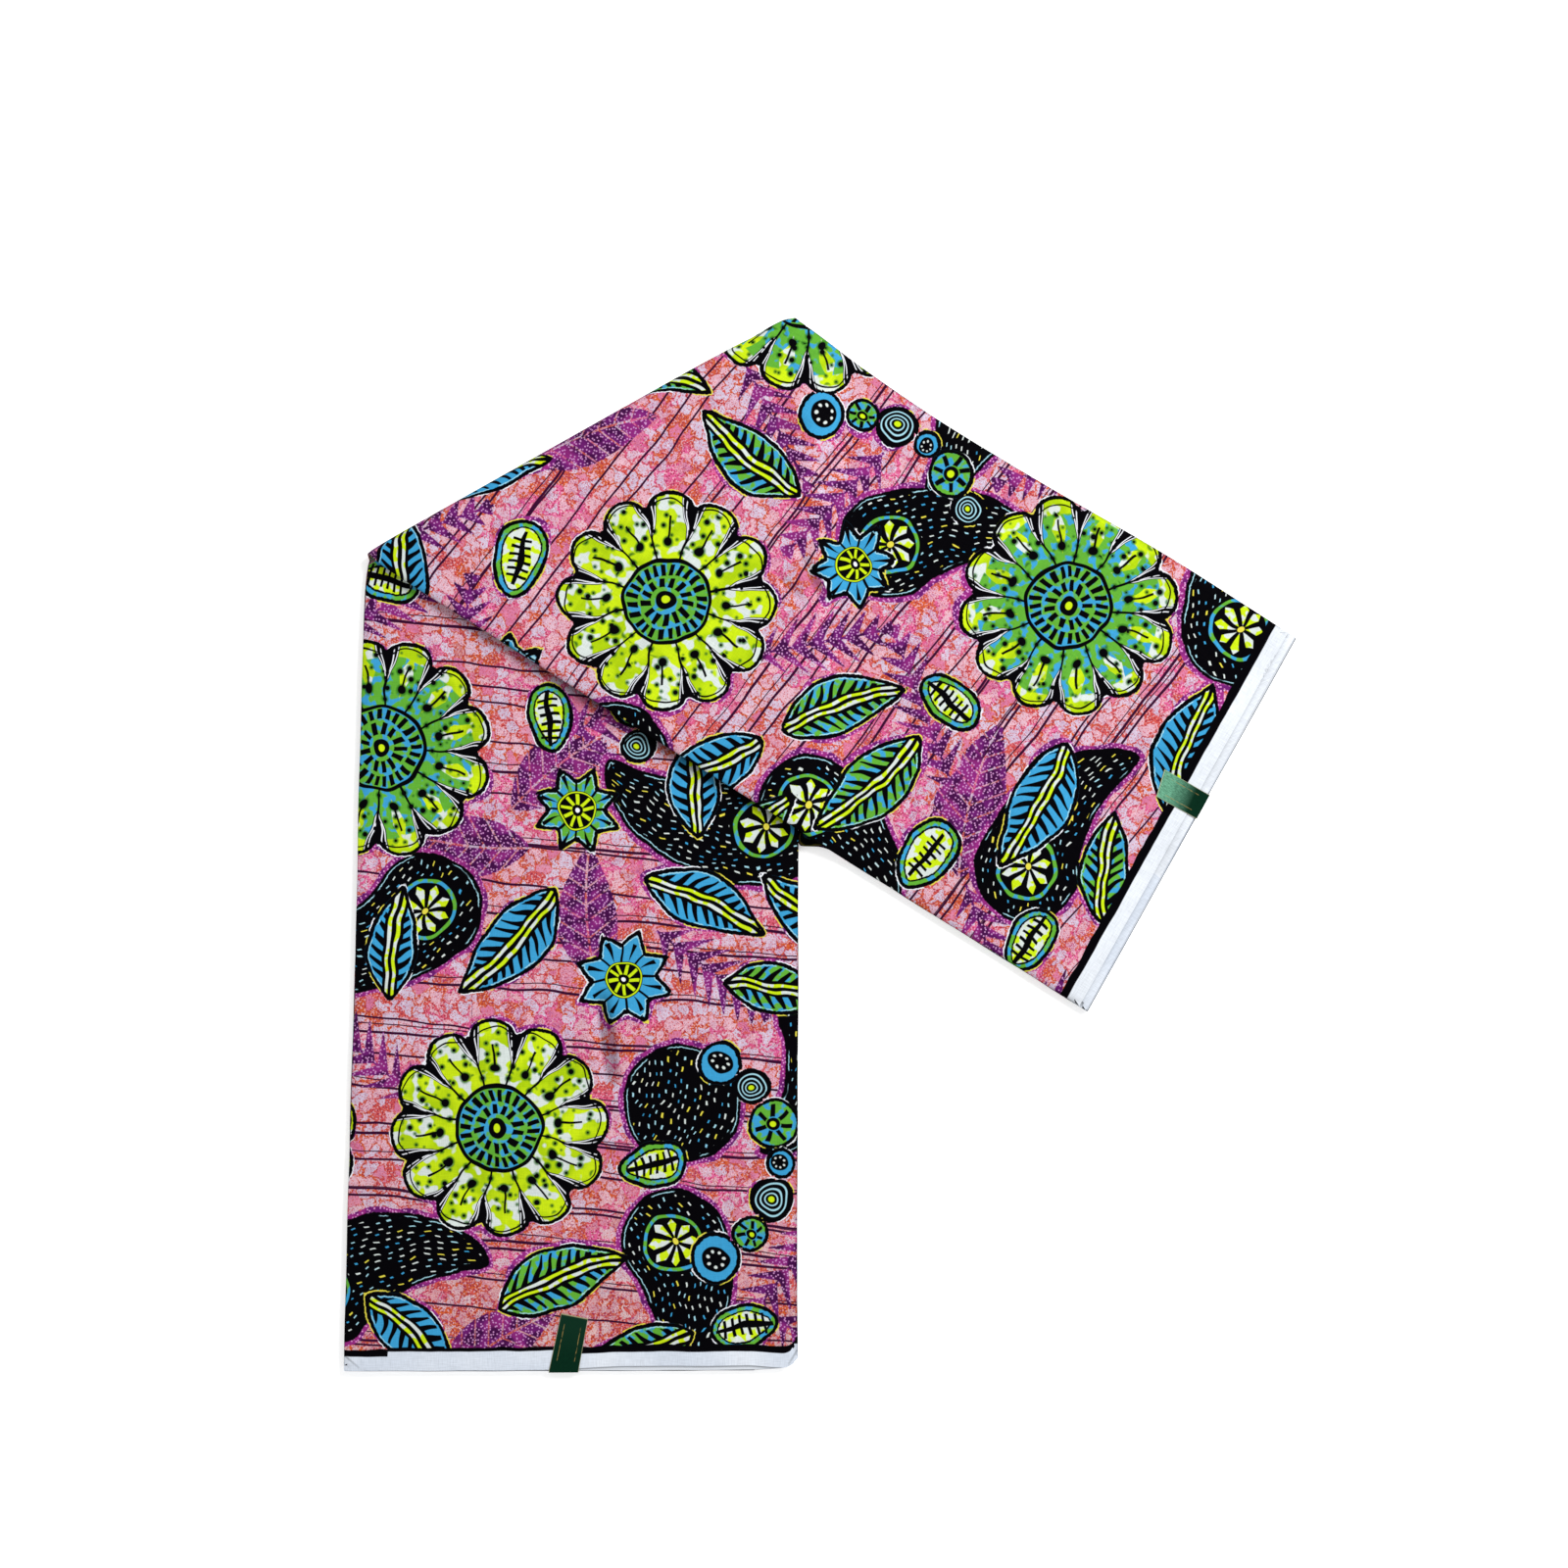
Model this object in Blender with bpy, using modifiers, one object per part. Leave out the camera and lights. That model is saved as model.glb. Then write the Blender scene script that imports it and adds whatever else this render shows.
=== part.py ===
# Folded length of printed cotton cloth, with a paper sticker over each of its two selvedges.
# Six yards are folded back and forth into a flat pack of leaves, as long as the cloth is wide,
# and the pack is folded over once along a slanting line.
# Metres, +Z up. The cloth rests on z = 0, with the middle of its footprint at the origin.

import math
from collections import namedtuple

import bmesh
import bpy
from mathutils import Matrix, Vector

# The pack: two leaves that share a side fold make a pair
PAIR_COUNT = 8
PAIR_THICKNESS = 0.0009
PACK = PAIR_COUNT * PAIR_THICKNESS
SIDE_GROOVE = 0.0007          # how far the hollow between two pairs goes in
SIDE_ROUNDING = 0.0004        # how far a pair's edge is rounded back at its top and bottom
EDGE_SHARE = 0.22             # of a pair's thickness, where its rounding starts
SIDE_WAVE = 0.0005            # each pair's side fold wanders this far from its place
SIDE_WAVES = 3.0              # times over the whole length of the pack

# The slanting fold
FOLD_RADIUS = 0.0008          # inside it, where the innermost leaves turn back
FOLD_ANGLE = math.radians(29.37)
REST_GAP = 0.0003             # between the two stretches where they lie on each other
FOLD_STEPS = 8

# Plan of the lower stretch, whose right side runs along +Y. Plan sizes are taken from its corner
# of the right side and the bottom selvedge, which lies here from the middle of the footprint.
PLAN_CORNER = Vector((-0.01623, -0.37790))
HEM_WIDTH = 0.3266            # across the bottom selvedge
HEM_DROP = 0.0014             # its left end lies this much nearer than its right end
WIDTH_AT_FOLD = 0.3112
FOLD_REACH = 0.7615           # along the right side, from the selvedge to the fold's outer line

# Plan of the upper stretch: the lower one's left side becomes its front side, the right its back
FRONT_LENGTH = 0.6085
FRONT_HEADING = math.radians(-32.23)
BACK_LENGTH = 0.4248
BACK_HEADING = math.radians(-32.55)
FRONT_SHIFT = 0.0065          # sideways travel of each side on its way round the fold
BACK_SHIFT = 0.0015
BACK_HOLLOW = 0.0042          # the back side curves in by about this much
BACK_RIPPLE = 0.0026
DRAPE_CLEAR = 0.002           # the upper stretch starts down this far past the lower one
DRAPE_LEAD = 0.0015           # and at its back side this far past the fold's last row
DRAPE_RUN = 0.047             # it reaches the surface after this much of its own length
DRAPE_STEPS = 8

# How each pair lies, from the lower stretch's top pair to its bottom pair, in metres:
# how far it stands out at each side, and how far it reaches at each selvedge
Pair = namedtuple("Pair", "left right hem_reach end_reach phase")
PAIRS = [
    Pair(0.0000, 0.0000, 0.0000, 0.0000, 0.00),
    Pair(-0.0008, -0.0005, -0.0008, -0.0008, 0.31),
    Pair(0.0002, -0.0012, 0.0005, -0.0021, 0.67),
    Pair(-0.0011, 0.0000, -0.0006, -0.0027, 0.12),
    Pair(-0.0003, -0.0009, 0.0009, -0.0040, 0.83),
    Pair(-0.0012, -0.0003, 0.0002, -0.0046, 0.48),
    Pair(-0.0002, -0.0010, 0.0015, -0.0058, 0.22),
    Pair(-0.0007, -0.0004, 0.0026, -0.0066, 0.74),
]
TUCK = 0.031                  # the bottom pair's right side lies this far in at the selvedge
TUCK_RUN = 0.14               # share of the whole path over which it comes back out

# Columns across the pack, as shares of its width from the left or front side, at its two ends
HEM_COLUMNS = (0.03, 0.20, 0.40, 0.45, 0.52, 0.57, 0.75, 0.90, 0.970, 0.988)
END_COLUMNS = (0.03, 0.20, 0.40, 0.47, 0.515, 0.585, 0.63, 0.80, 0.930, 0.975)

# Where the ends of the pack are not straight, at some of those columns: the sticker there draws
# the pairs together, and the corner of the bottom selvedge is rounded off
STICKER_PINCH = 0.75          # share of the pairs' steps that a sticker takes away
HEM_PINCH_IN = 0.0015
HEM_PINCHED = (0.45, 0.52)
END_PINCHED = (0.515, 0.585)
CORNER_CUTS = {0.970: 0.0004, 0.988: 0.0024, 1.0: 0.0070}
COLUMN_KNEE = 0.75            # columns past this share draw in with a pair whose right side is tucked

# Rows along the lower stretch, as shares of its length, and along the upper one past the drape
LOWER_ROWS = (0.026, 0.09, 0.18, 0.32, 0.48, 0.64, 0.80, 0.93)
SETTLE_ROWS = ((0.012, 0.0015, 0.65), (0.026, 0.0030, 0.22), (0.040, 0.0045, 0.0))
FAN_ROWS = (0.30, 0.60, 0.85)
FLOOR_ROWS = (0.2, 0.45, 0.7, 0.9)
LAST_ROW_INSET = 0.018        # the last row lies this far inside the side selvedge

# Stickers: folded paper strips. Their two sides are placed as shares across the pack, at the
# selvedge and at the sticker's inner end, with the length that lies on the top leaf.
STICKER_THICKNESS = 0.0004
STICKER_CLEAR = 0.0003
STICKER_BEND = 0.0012
STICKER_BEND_STEPS = 4
STICKER_FOOT = 0.0008         # it ends this far above the surface
StickerSide = namedtuple("StickerSide", "at_selvedge at_inner_end length")
HEM_STICKER = (StickerSide(0.4510, 0.4775, 0.0455), StickerSide(0.5165, 0.5370, 0.0404))
END_STICKER = (StickerSide(0.5180, 0.5110, 0.0330), StickerSide(0.5810, 0.5750, 0.0360))

# Colours and finishes: name, base colour, roughness
CLOTH_LOOK = ("printed_cotton", (0.52, 0.20, 0.26), 0.75)
STICKER_LOOK = ("green_paper", (0.01, 0.09, 0.04), 0.35)


def clear_scene():
    for obj in list(bpy.data.objects):
        bpy.data.objects.remove(obj, do_unlink=True)


def make_material(look):
    name, colour, roughness = look
    material = bpy.data.materials.new(name)
    material.use_nodes = True
    shader = material.node_tree.nodes["Principled BSDF"]
    shader.inputs["Base Color"].default_value = (*colour, 1.0)
    shader.inputs["Roughness"].default_value = roughness
    shader.inputs["Metallic"].default_value = 0.0
    return material


def heading(angle):
    return Vector((math.cos(angle), math.sin(angle)))


def ease(share):
    share = min(max(share, 0.0), 1.0)
    return share ** 3 * (share * (6.0 * share - 15.0) + 10.0)


# The slanting fold turns round an axis that lies inside its outer line by the outer radius
FOLD_ALONG = heading(FOLD_ANGLE)
FOLD_OUT = Vector((-FOLD_ALONG.y, FOLD_ALONG.x))
OUTER_RADIUS = FOLD_RADIUS + PACK
AXIS_REACH = FOLD_REACH - OUTER_RADIUS / math.cos(FOLD_ANGLE)


def fold_axis(across):
    x = -WIDTH_AT_FOLD * (1.0 - across)
    return Vector((x, AXIS_REACH + x * math.tan(FOLD_ANGLE)))


def lower_place(across, along, level):
    hem_x = -HEM_WIDTH * (1.0 - across)
    hem = Vector((hem_x, HEM_DROP * hem_x / HEM_WIDTH))
    spot = hem.lerp(fold_axis(across), along)
    return Vector((spot.x, spot.y, level))


def fold_shift(across):
    return FRONT_SHIFT + (BACK_SHIFT - FRONT_SHIFT) * across


def fold_place(across, turn, level):
    radius = OUTER_RADIUS - level
    angle = math.pi * turn
    spot = fold_axis(across) + FOLD_OUT * radius * math.sin(angle) + FOLD_ALONG * fold_shift(across) * turn
    return Vector((spot.x, spot.y, OUTER_RADIUS - radius * math.cos(angle)))


def front_side(run):
    start = fold_axis(0.0) + FOLD_ALONG * FRONT_SHIFT
    return start + heading(FRONT_HEADING) * run


def back_side(run):
    start = fold_axis(1.0) + FOLD_ALONG * BACK_SHIFT
    share = math.pi * min(run / BACK_LENGTH, 1.0)
    hollow = BACK_HOLLOW * math.sin(share) + BACK_RIPPLE * math.sin(2.0 * share)
    inward = heading(BACK_HEADING - math.pi / 2.0)
    return start + heading(BACK_HEADING) * run + inward * hollow


def upper_place(across, front_run, back_run, lift, level):
    spot = front_side(front_run).lerp(back_side(back_run), across)
    return Vector((spot.x, spot.y, lift + PACK - level))


def upper_rows():
    # Each row of the upper stretch: run along the front, run along the back, height of its underside
    settled = PACK + REST_GAP
    spring = 2.0 * FOLD_RADIUS - REST_GAP
    rows = [(front, back, settled + spring * share) for front, back, share in SETTLE_ROWS]
    last_front, last_back, _ = SETTLE_ROWS[-1]
    drape_front = (DRAPE_CLEAR - front_side(0.0).x) / math.cos(FRONT_HEADING)
    drape_back = last_back + DRAPE_LEAD
    for share in FAN_ROWS:
        front = last_front + (drape_front - last_front) * share
        rows.append((front, last_back + (drape_back - last_back) * share, settled))
    for step in range(DRAPE_STEPS + 1):
        share = step / DRAPE_STEPS
        run = DRAPE_RUN * share
        rows.append((drape_front + run, drape_back + run, settled * (1.0 - ease(share))))
    floor_front = drape_front + DRAPE_RUN
    floor_back = drape_back + DRAPE_RUN
    for share in FLOOR_ROWS + (1.0,):
        front = floor_front + (FRONT_LENGTH - LAST_ROW_INSET - floor_front) * share
        back = floor_back + (BACK_LENGTH - LAST_ROW_INSET - floor_back) * share
        rows.append((front, back, 0.0))
    return rows


def lower_row(along):
    return lambda across, level: lower_place(across, along, level)


def fold_row(turn):
    return lambda across, level: fold_place(across, turn, level)


def upper_row(front_run, back_run, lift):
    return lambda across, level: upper_place(across, front_run, back_run, lift, level)


def cloth_rows():
    # Every row as a function of (across, level), with its share of the whole path
    places = [lower_row(share) for share in LOWER_ROWS]
    places += [fold_row(step / FOLD_STEPS) for step in range(FOLD_STEPS + 1)]
    places += [upper_row(*run) for run in upper_rows()]
    middle = [place(0.5, 0.0) for place in places]
    lengths = [0.0]
    for here, after in zip(middle, middle[1:]):
        lengths.append(lengths[-1] + (after - here).length)
    return [(place, length / lengths[-1]) for place, length in zip(places, lengths)]


def side_reach(pair, side, path):
    # How far a pair stands out past the pack's nominal side, at this share of the path
    turns = SIDE_WAVES * path + PAIRS[pair].phase + 0.5 * side
    wave = SIDE_WAVE * math.sin(2.0 * math.pi * turns)
    reach = (PAIRS[pair].left, PAIRS[pair].right)[side] + wave
    if side == 1 and pair == PAIR_COUNT - 1:
        reach -= TUCK * (1.0 - ease(path / TUCK_RUN))
    return reach


def boundary_reach(boundary, side, path):
    # The same for the top face, the underside and the hollows between pairs
    beside = [pair for pair in (boundary - 1, boundary) if 0 <= pair < PAIR_COUNT]
    depth = SIDE_GROOVE if len(beside) == 2 else SIDE_ROUNDING
    return min(side_reach(pair, side, path) for pair in beside) - depth


def across_of(side, reach, width):
    return 1.0 + reach / width if side else -reach / width


def columns_at(path):
    return [hem + (end - hem) * path for hem, end in zip(HEM_COLUMNS, END_COLUMNS)]


def boundary_across(boundary, path, columns, width):
    # The points of one boundary from the left or front side to the other, as shares of the width
    left, right = (across_of(side, boundary_reach(boundary, side, path), width) for side in (0, 1))
    draw = (right - COLUMN_KNEE) / (1.0 - COLUMN_KNEE)
    spread = [min(column, COLUMN_KNEE + draw * (column - COLUMN_KNEE)) for column in columns]
    return [left] + spread + [right]


def boundary_level(boundary):
    return PACK - boundary * PAIR_THICKNESS


def edge_levels(pair):
    rounding = EDGE_SHARE * PAIR_THICKNESS
    return boundary_level(pair) - rounding, boundary_level(pair + 1) + rounding


def add_section(mesh, place, path):
    # One closed ring of points round the pack: top face, right side, underside and left side
    width = (place(1.0, 0.0) - place(0.0, 0.0)).length
    columns = columns_at(path)

    def point(across, level):
        return mesh.verts.new(place(across, level))

    def edge_point(pair, side, level):
        return point(across_of(side, side_reach(pair, side, path), width), level)

    row = {"top": [], "under": [], "groove": {}, "edge": {}}
    row["top"] = [point(a, PACK) for a in boundary_across(0, path, columns, width)]
    row["under"] = [point(a, 0.0) for a in boundary_across(PAIR_COUNT, path, columns, width)]
    for side in (0, 1):
        for pair in range(PAIR_COUNT):
            row["edge"][pair, side] = [edge_point(pair, side, level) for level in edge_levels(pair)]
        for boundary in range(1, PAIR_COUNT):
            across = across_of(side, boundary_reach(boundary, side, path), width)
            row["groove"][boundary, side] = point(across, boundary_level(boundary))
    return row


def row_loop(row):
    loop = list(row["top"])
    for pair in range(PAIR_COUNT):
        loop += row["edge"][pair, 1]
        if pair + 1 < PAIR_COUNT:
            loop.append(row["groove"][pair + 1, 1])
    loop += reversed(row["under"])
    for pair in reversed(range(PAIR_COUNT)):
        loop += reversed(row["edge"][pair, 0])
        if pair:
            loop.append(row["groove"][pair, 0])
    return loop


def join_rows(mesh, row, after):
    first, second = row_loop(row), row_loop(after)
    for index in range(len(first)):
        before = index - 1
        mesh.faces.new((first[before], first[index], second[index], second[before]))


def end_reach(pair, column, at_hem):
    # How far a pair reaches at an end of the pack, at one column of it
    pinched = HEM_PINCHED if at_hem else END_PINCHED
    reach = PAIRS[pair].hem_reach if at_hem else PAIRS[pair].end_reach
    if column in pinched:
        reach *= 1.0 - STICKER_PINCH
        reach -= HEM_PINCH_IN if at_hem else 0.0
    if at_hem and pair < PAIR_COUNT - 1:
        reach -= CORNER_CUTS.get(column, 0.0)
    return reach


def end_place(across, reach, level, at_hem):
    if at_hem:
        return lower_place(across, -reach / AXIS_REACH, level)
    return upper_place(across, FRONT_LENGTH + reach, BACK_LENGTH + reach, 0.0, level)


def add_end(mesh, row, at_hem):
    # Each pair ends at its own reach, so the end of the pack is a flight of small steps
    path = 0.0 if at_hem else 1.0
    columns = HEM_COLUMNS if at_hem else END_COLUMNS
    width = (end_place(1.0, 0.0, 0.0, at_hem) - end_place(0.0, 0.0, 0.0, at_hem)).length
    keys = (0.0,) + columns + (1.0,)

    def point(pair, across, key, level):
        return mesh.verts.new(end_place(across, end_reach(pair, key, at_hem), level, at_hem))

    def line(pair, boundary):
        shares = boundary_across(boundary, path, columns, width)
        return [point(pair, across, key, boundary_level(boundary)) for across, key in zip(shares, keys)]

    def edge(pair, side):
        across = across_of(side, side_reach(pair, side, path), width)
        return [point(pair, across, float(side), level) for level in edge_levels(pair)]

    upper = [line(pair, pair) for pair in range(PAIR_COUNT)]
    lower = [line(pair, pair + 1) for pair in range(PAIR_COUNT)]
    edges = {(pair, side): edge(pair, side) for pair in range(PAIR_COUNT) for side in (0, 1)}
    strip(mesh, row["top"], upper[0])
    strip(mesh, row["under"], lower[-1])
    for pair in range(PAIR_COUNT):
        strip(mesh, upper[pair], lower[pair])
        if pair:
            strip(mesh, lower[pair - 1], upper[pair])
        for side in (0, 1):
            corner = -side
            high, low = edges[pair, side]
            mesh.faces.new((upper[pair][corner], high, low, lower[pair][corner]))
            row_high, row_low = row["edge"][pair, side]
            mesh.faces.new((row_high, row_low, low, high))
            above = side_corner(mesh, row, "top", pair, side)
            below = side_corner(mesh, row, "under", pair + 1, side)
            far_above = [upper[pair][corner]]
            far_below = [lower[pair][corner]]
            if pair and longer(pair, pair - 1, side, at_hem):
                far_above.append(lower[pair - 1][corner])
            if pair + 1 < PAIR_COUNT and longer(pair, pair + 1, side, at_hem):
                far_below.append(upper[pair + 1][corner])
            mesh.faces.new([above, row_high, high] + far_above)
            mesh.faces.new([below, row_low, low] + far_below)


def side_corner(mesh, row, face, boundary, side):
    if boundary in (0, PAIR_COUNT):
        return row[face][-side]
    return row["groove"][boundary, side]


def longer(pair, other, side, at_hem):
    return end_reach(pair, float(side), at_hem) > end_reach(other, float(side), at_hem)


def strip(mesh, line, other):
    for index in range(len(line) - 1):
        mesh.faces.new((line[index], line[index + 1], other[index + 1], other[index]))


def finish_object(mesh, name, collection, look):
    data = bpy.data.meshes.new(name)
    mesh.to_mesh(data)
    mesh.free()
    data.transform(Matrix.Translation(PLAN_CORNER.to_3d()))
    obj = bpy.data.objects.new(name, data)
    collection.objects.link(obj)
    data.materials.append(make_material(look))
    data.shade_smooth()
    data.set_sharp_from_angle(angle=math.radians(40.0))
    return obj


def make_cloth(collection):
    mesh = bmesh.new()
    rows = [add_section(mesh, place, path) for place, path in cloth_rows()]
    for row, after in zip(rows, rows[1:]):
        join_rows(mesh, row, after)
    add_end(mesh, rows[0], at_hem=True)
    add_end(mesh, rows[-1], at_hem=False)
    bmesh.ops.recalc_face_normals(mesh, faces=mesh.faces)
    return finish_object(mesh, "cloth", collection, CLOTH_LOOK)


def sticker_profile(side, at_hem):
    # From the inner end over the top face, round the edge of the pack and down to just above the surface
    pinched = HEM_PINCHED if at_hem else END_PINCHED
    reach = max(end_reach(pair, pinched[0], at_hem) for pair in range(PAIR_COUNT))
    top = PACK + STICKER_CLEAR
    inner = end_place(side.at_inner_end, -side.length, top, at_hem).to_2d()
    edge = end_place(side.at_selvedge, reach + STICKER_CLEAR, top, at_hem).to_2d()
    out = (edge - inner).normalized()
    bend = edge - out * STICKER_BEND
    profile = [(inner, top), (inner.lerp(bend, 0.5), top)]
    for step in range(STICKER_BEND_STEPS + 1):
        angle = 0.5 * math.pi * step / STICKER_BEND_STEPS
        drop = STICKER_BEND * (1.0 - math.cos(angle))
        profile.append((bend + out * STICKER_BEND * math.sin(angle), top - drop))
    profile.append((edge, STICKER_FOOT))
    return profile


def make_sticker(name, sides, at_hem, collection):
    mesh = bmesh.new()
    lines = []
    for side in sides:
        lines.append([mesh.verts.new((spot.x, spot.y, z)) for spot, z in sticker_profile(side, at_hem)])
    strip(mesh, *lines)
    obj = finish_object(mesh, name, collection, STICKER_LOOK)
    wall = obj.modifiers.new("paper", "SOLIDIFY")
    wall.thickness = STICKER_THICKNESS
    wall.offset = 1.0
    return obj


def main():
    clear_scene()
    collection = bpy.data.collections.new("folded_cloth")
    bpy.context.scene.collection.children.link(collection)
    make_cloth(collection)
    make_sticker("sticker_hem", HEM_STICKER, True, collection)
    make_sticker("sticker_end", END_STICKER, False, collection)


main()
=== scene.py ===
import math

import bpy
import numpy as np
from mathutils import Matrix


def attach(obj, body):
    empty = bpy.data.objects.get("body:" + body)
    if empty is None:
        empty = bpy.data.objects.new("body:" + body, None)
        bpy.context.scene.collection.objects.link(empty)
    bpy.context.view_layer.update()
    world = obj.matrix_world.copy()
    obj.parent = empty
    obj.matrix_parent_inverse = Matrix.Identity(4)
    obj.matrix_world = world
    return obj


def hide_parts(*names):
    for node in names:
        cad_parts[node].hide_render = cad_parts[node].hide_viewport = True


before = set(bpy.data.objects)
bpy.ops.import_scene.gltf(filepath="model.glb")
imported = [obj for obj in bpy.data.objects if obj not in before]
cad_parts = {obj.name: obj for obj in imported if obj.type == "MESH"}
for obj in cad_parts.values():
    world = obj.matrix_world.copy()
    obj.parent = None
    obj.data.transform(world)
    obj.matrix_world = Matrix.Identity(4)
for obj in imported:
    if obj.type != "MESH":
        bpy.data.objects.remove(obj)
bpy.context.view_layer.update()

# The folded cloth: 17 leaves as long as the cloth is wide, turned over once along a slanting line.
# Plan sizes are taken from the corner of the right side and the bottom selvedge.
pack = {
    "leaves": 17,
    "thickness": 0.0072,
    "clothThickness": 0.00033,
    "corner": np.array([-0.01623, -0.37790]),  # where that corner lies from the middle of the footprint
    "hemWidth": 0.3266,
    "hemDrop": 0.0014,
    "widthAtFold": 0.3112,
    "foldReach": 0.7615,
    "foldRadius": 0.0008,
    "foldAngle": math.radians(29.37),
    "restGap": 0.0003,
    "frontLength": 0.6085,
    "frontHeading": math.radians(-32.23),
    "backLength": 0.4248,
    "backHeading": math.radians(-32.55),
    "frontShift": 0.0065,  # sideways travel of each side on its way round the fold
    "backShift": 0.0015,
    "backHollow": 0.0042,
    "backRipple": 0.0026,
    "settle": ((0.0, 0.0, 1.0), (0.012, 0.0015, 0.65), (0.026, 0.0030, 0.22), (0.040, 0.0045, 0.0)),
    "drapeClear": 0.002,
    "drapeLead": 0.0015,
    "drapeRun": 0.047,
    "creaseClear": 0.02,  # the lower stretch's creases fade out this close to the upper stretch
    "creaseStart": 0.05,  # the upper one's grow over this share of its length, from the slanting fold
    # Where the fold gives way a little: place, pull and reach
    "foldGives": (
        ((-0.3112, 0.5820), (0.0033, 0.0006), 0.014),
        ((-0.0033, 0.7600), (-0.0006, -0.0046), 0.0075),
        ((-0.0330, 0.7420), (0.0008, -0.0015), 0.022),
    ),
    # Painted shadow on the lower stretch beside the upper one's front side: how dark, by the way from the
    # fold
    "contactShade": ((50.0, 0.0), (120.0, 0.45), (190.0, 0.92), (240.0, 0.92), (300.0, 0.62), (372.0, 0.55)),
    "contactRun": 5.6,  # that painted shadow fades over this many millimetres
}

# How the leaves lie at the sides and ends, in millimetres, from the lower stretch's top to its bottom
stack = {
    "leftOut": (0.0, -0.8, 0.1, -1.1, -0.3, -1.2, -0.2, -0.7, 0.3),  # one for each side fold
    "rightOut": (0.0, -0.5, -1.2, 0.0, -0.9, -0.3, -1.0, -0.5, 0.0),
    "hemOut": (0.0, -0.7, -0.3, 0.3, -0.9, -0.1, 0.4, -0.5, 0.1, 0.7, -0.2, 0.3, -0.6, 0.5, 2.9, 2.6, 2.3),
    # How much further out the hem's leaves reach, by the place across; the first few step back
    "hemStep": ((0.0, 1.2), (0.90, 1.2), (0.97, 0.0)),
    "hemStepBack": ((0.0, 1.2), (0.44, 1.2), (0.62, -1.9), (0.90, -1.9), (0.97, 0.0)),
    "steppedBack": 3,
    "endOut": (0.0, -0.5, -0.2, -0.9, -0.3, -0.7, -1.2, -0.4, -0.8, -1.5, -0.6, -1.1, -0.9, -1.7, -1.3,
               -2.2, -7.8),
    "jitter": 0.2,
    "wander": 0.45,  # a side fold leaves its line by this much
    "tuckedFolds": 2,  # the lowest folds, whose right side is tucked in at the hem
    "tuck": 31.0,
    "tuckRun": 0.14,
    "cornerCut": 7.0,  # the right corner of the hem is rounded off by this much
    "cornerRun": 0.036,
    "inset": 4.0,  # each leaf's edge strip goes in under the next one by this much
    "endInset": 8.0,
    "nose": 0.34,
    "shoulder": 0.13,  # the pile is thinner by this share along its sides
    "shoulderRun": 3.4,
    "endShoulder": 0.02,
}

mm = 0.001
thickness = pack["thickness"]
leafCount = pack["leaves"]
pitch = (thickness - pack["clothThickness"]) / (leafCount - 1)
topLevel = [thickness - pitch * leaf for leaf in range(leafCount)]


def heading(angle):
    return np.array([math.cos(angle), math.sin(angle)])


def ease(share):
    share = np.clip(share, 0.0, 1.0)
    return share ** 3 * (share * (6.0 * share - 15.0) + 10.0)


foldAlong = heading(pack["foldAngle"])
foldOut = np.array([-foldAlong[1], foldAlong[0]])
outerRadius = pack["foldRadius"] + thickness
axisReach = pack["foldReach"] - outerRadius / math.cos(pack["foldAngle"])


def foldAxis(across):
    x = -pack["widthAtFold"] * (1.0 - across)
    return np.stack([x, axisReach + x * math.tan(pack["foldAngle"])], axis=-1)


def lowerSpot(across, along):
    hemX = -pack["hemWidth"] * (1.0 - across)
    hem = np.stack([hemX, pack["hemDrop"] * hemX / pack["hemWidth"]], axis=-1)
    return hem + (foldAxis(across) - hem) * along[..., None]


def foldShift(across):
    return pack["frontShift"] + (pack["backShift"] - pack["frontShift"]) * across


def frontSide(run):
    start = foldAxis(np.array(0.0)) + foldAlong * pack["frontShift"]
    return start + heading(pack["frontHeading"]) * run[..., None]


def backSide(run):
    start = foldAxis(np.array(1.0)) + foldAlong * pack["backShift"]
    share = math.pi * np.minimum(run / pack["backLength"], 1.0)
    hollow = pack["backHollow"] * np.sin(share) + pack["backRipple"] * np.sin(2.0 * share)
    inward = heading(pack["backHeading"] - math.pi / 2.0)
    return start + heading(pack["backHeading"]) * run[..., None] + inward * hollow[..., None]


def upperRun():
    # Runs along the front and the back, and the height of the underside, from the fold to the end
    settled = thickness + pack["restGap"]
    spring = 2.0 * pack["foldRadius"] - pack["restGap"]
    rows = [(front, back, settled + spring * share) for front, back, share in pack["settle"]]
    backStart = rows[-1][1]
    drapeFront = (pack["drapeClear"] - frontSide(np.array(0.0))[0]) / math.cos(pack["frontHeading"])
    drapeBack = backStart + pack["drapeLead"]
    rows += [(drapeFront + pack["drapeRun"] * s, drapeBack + pack["drapeRun"] * s,
              settled * (1.0 - float(ease(s)))) for s in np.linspace(0.0, 1.0, 17)]
    rows.append((pack["frontLength"], pack["backLength"], 0.0))
    rows = np.array(rows)
    shares = rows[:, :2].mean(axis=1)
    length = shares[-1]
    fine = np.linspace(0.0, 1.0, 600)
    table = np.stack([np.interp(fine * length, shares, column) for column in rows.T], axis=-1)
    straight = fine[:, None] * (table[-1] - table[0]) + table[0]
    rest = table - straight
    soft = np.array([np.convolve(np.pad(c, 6, mode="edge"), np.ones(13) / 13.0, "valid") for c in rest.T]).T
    fade = np.minimum(1.0, np.minimum(fine, 1.0 - fine) * 60.0)[:, None]
    return fine, straight + rest + (soft - rest) * fade, length


runShares, runTable, upperLength = upperRun()


def upperSpot(across, share):
    front, back, lift = (np.interp(share, runShares, column) for column in runTable.T)
    extra = np.maximum(share - 1.0, 0.0) * upperLength
    low, high = frontSide(front + extra), backSide(back + extra)
    return low + (high - low) * across[..., None], lift


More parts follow.
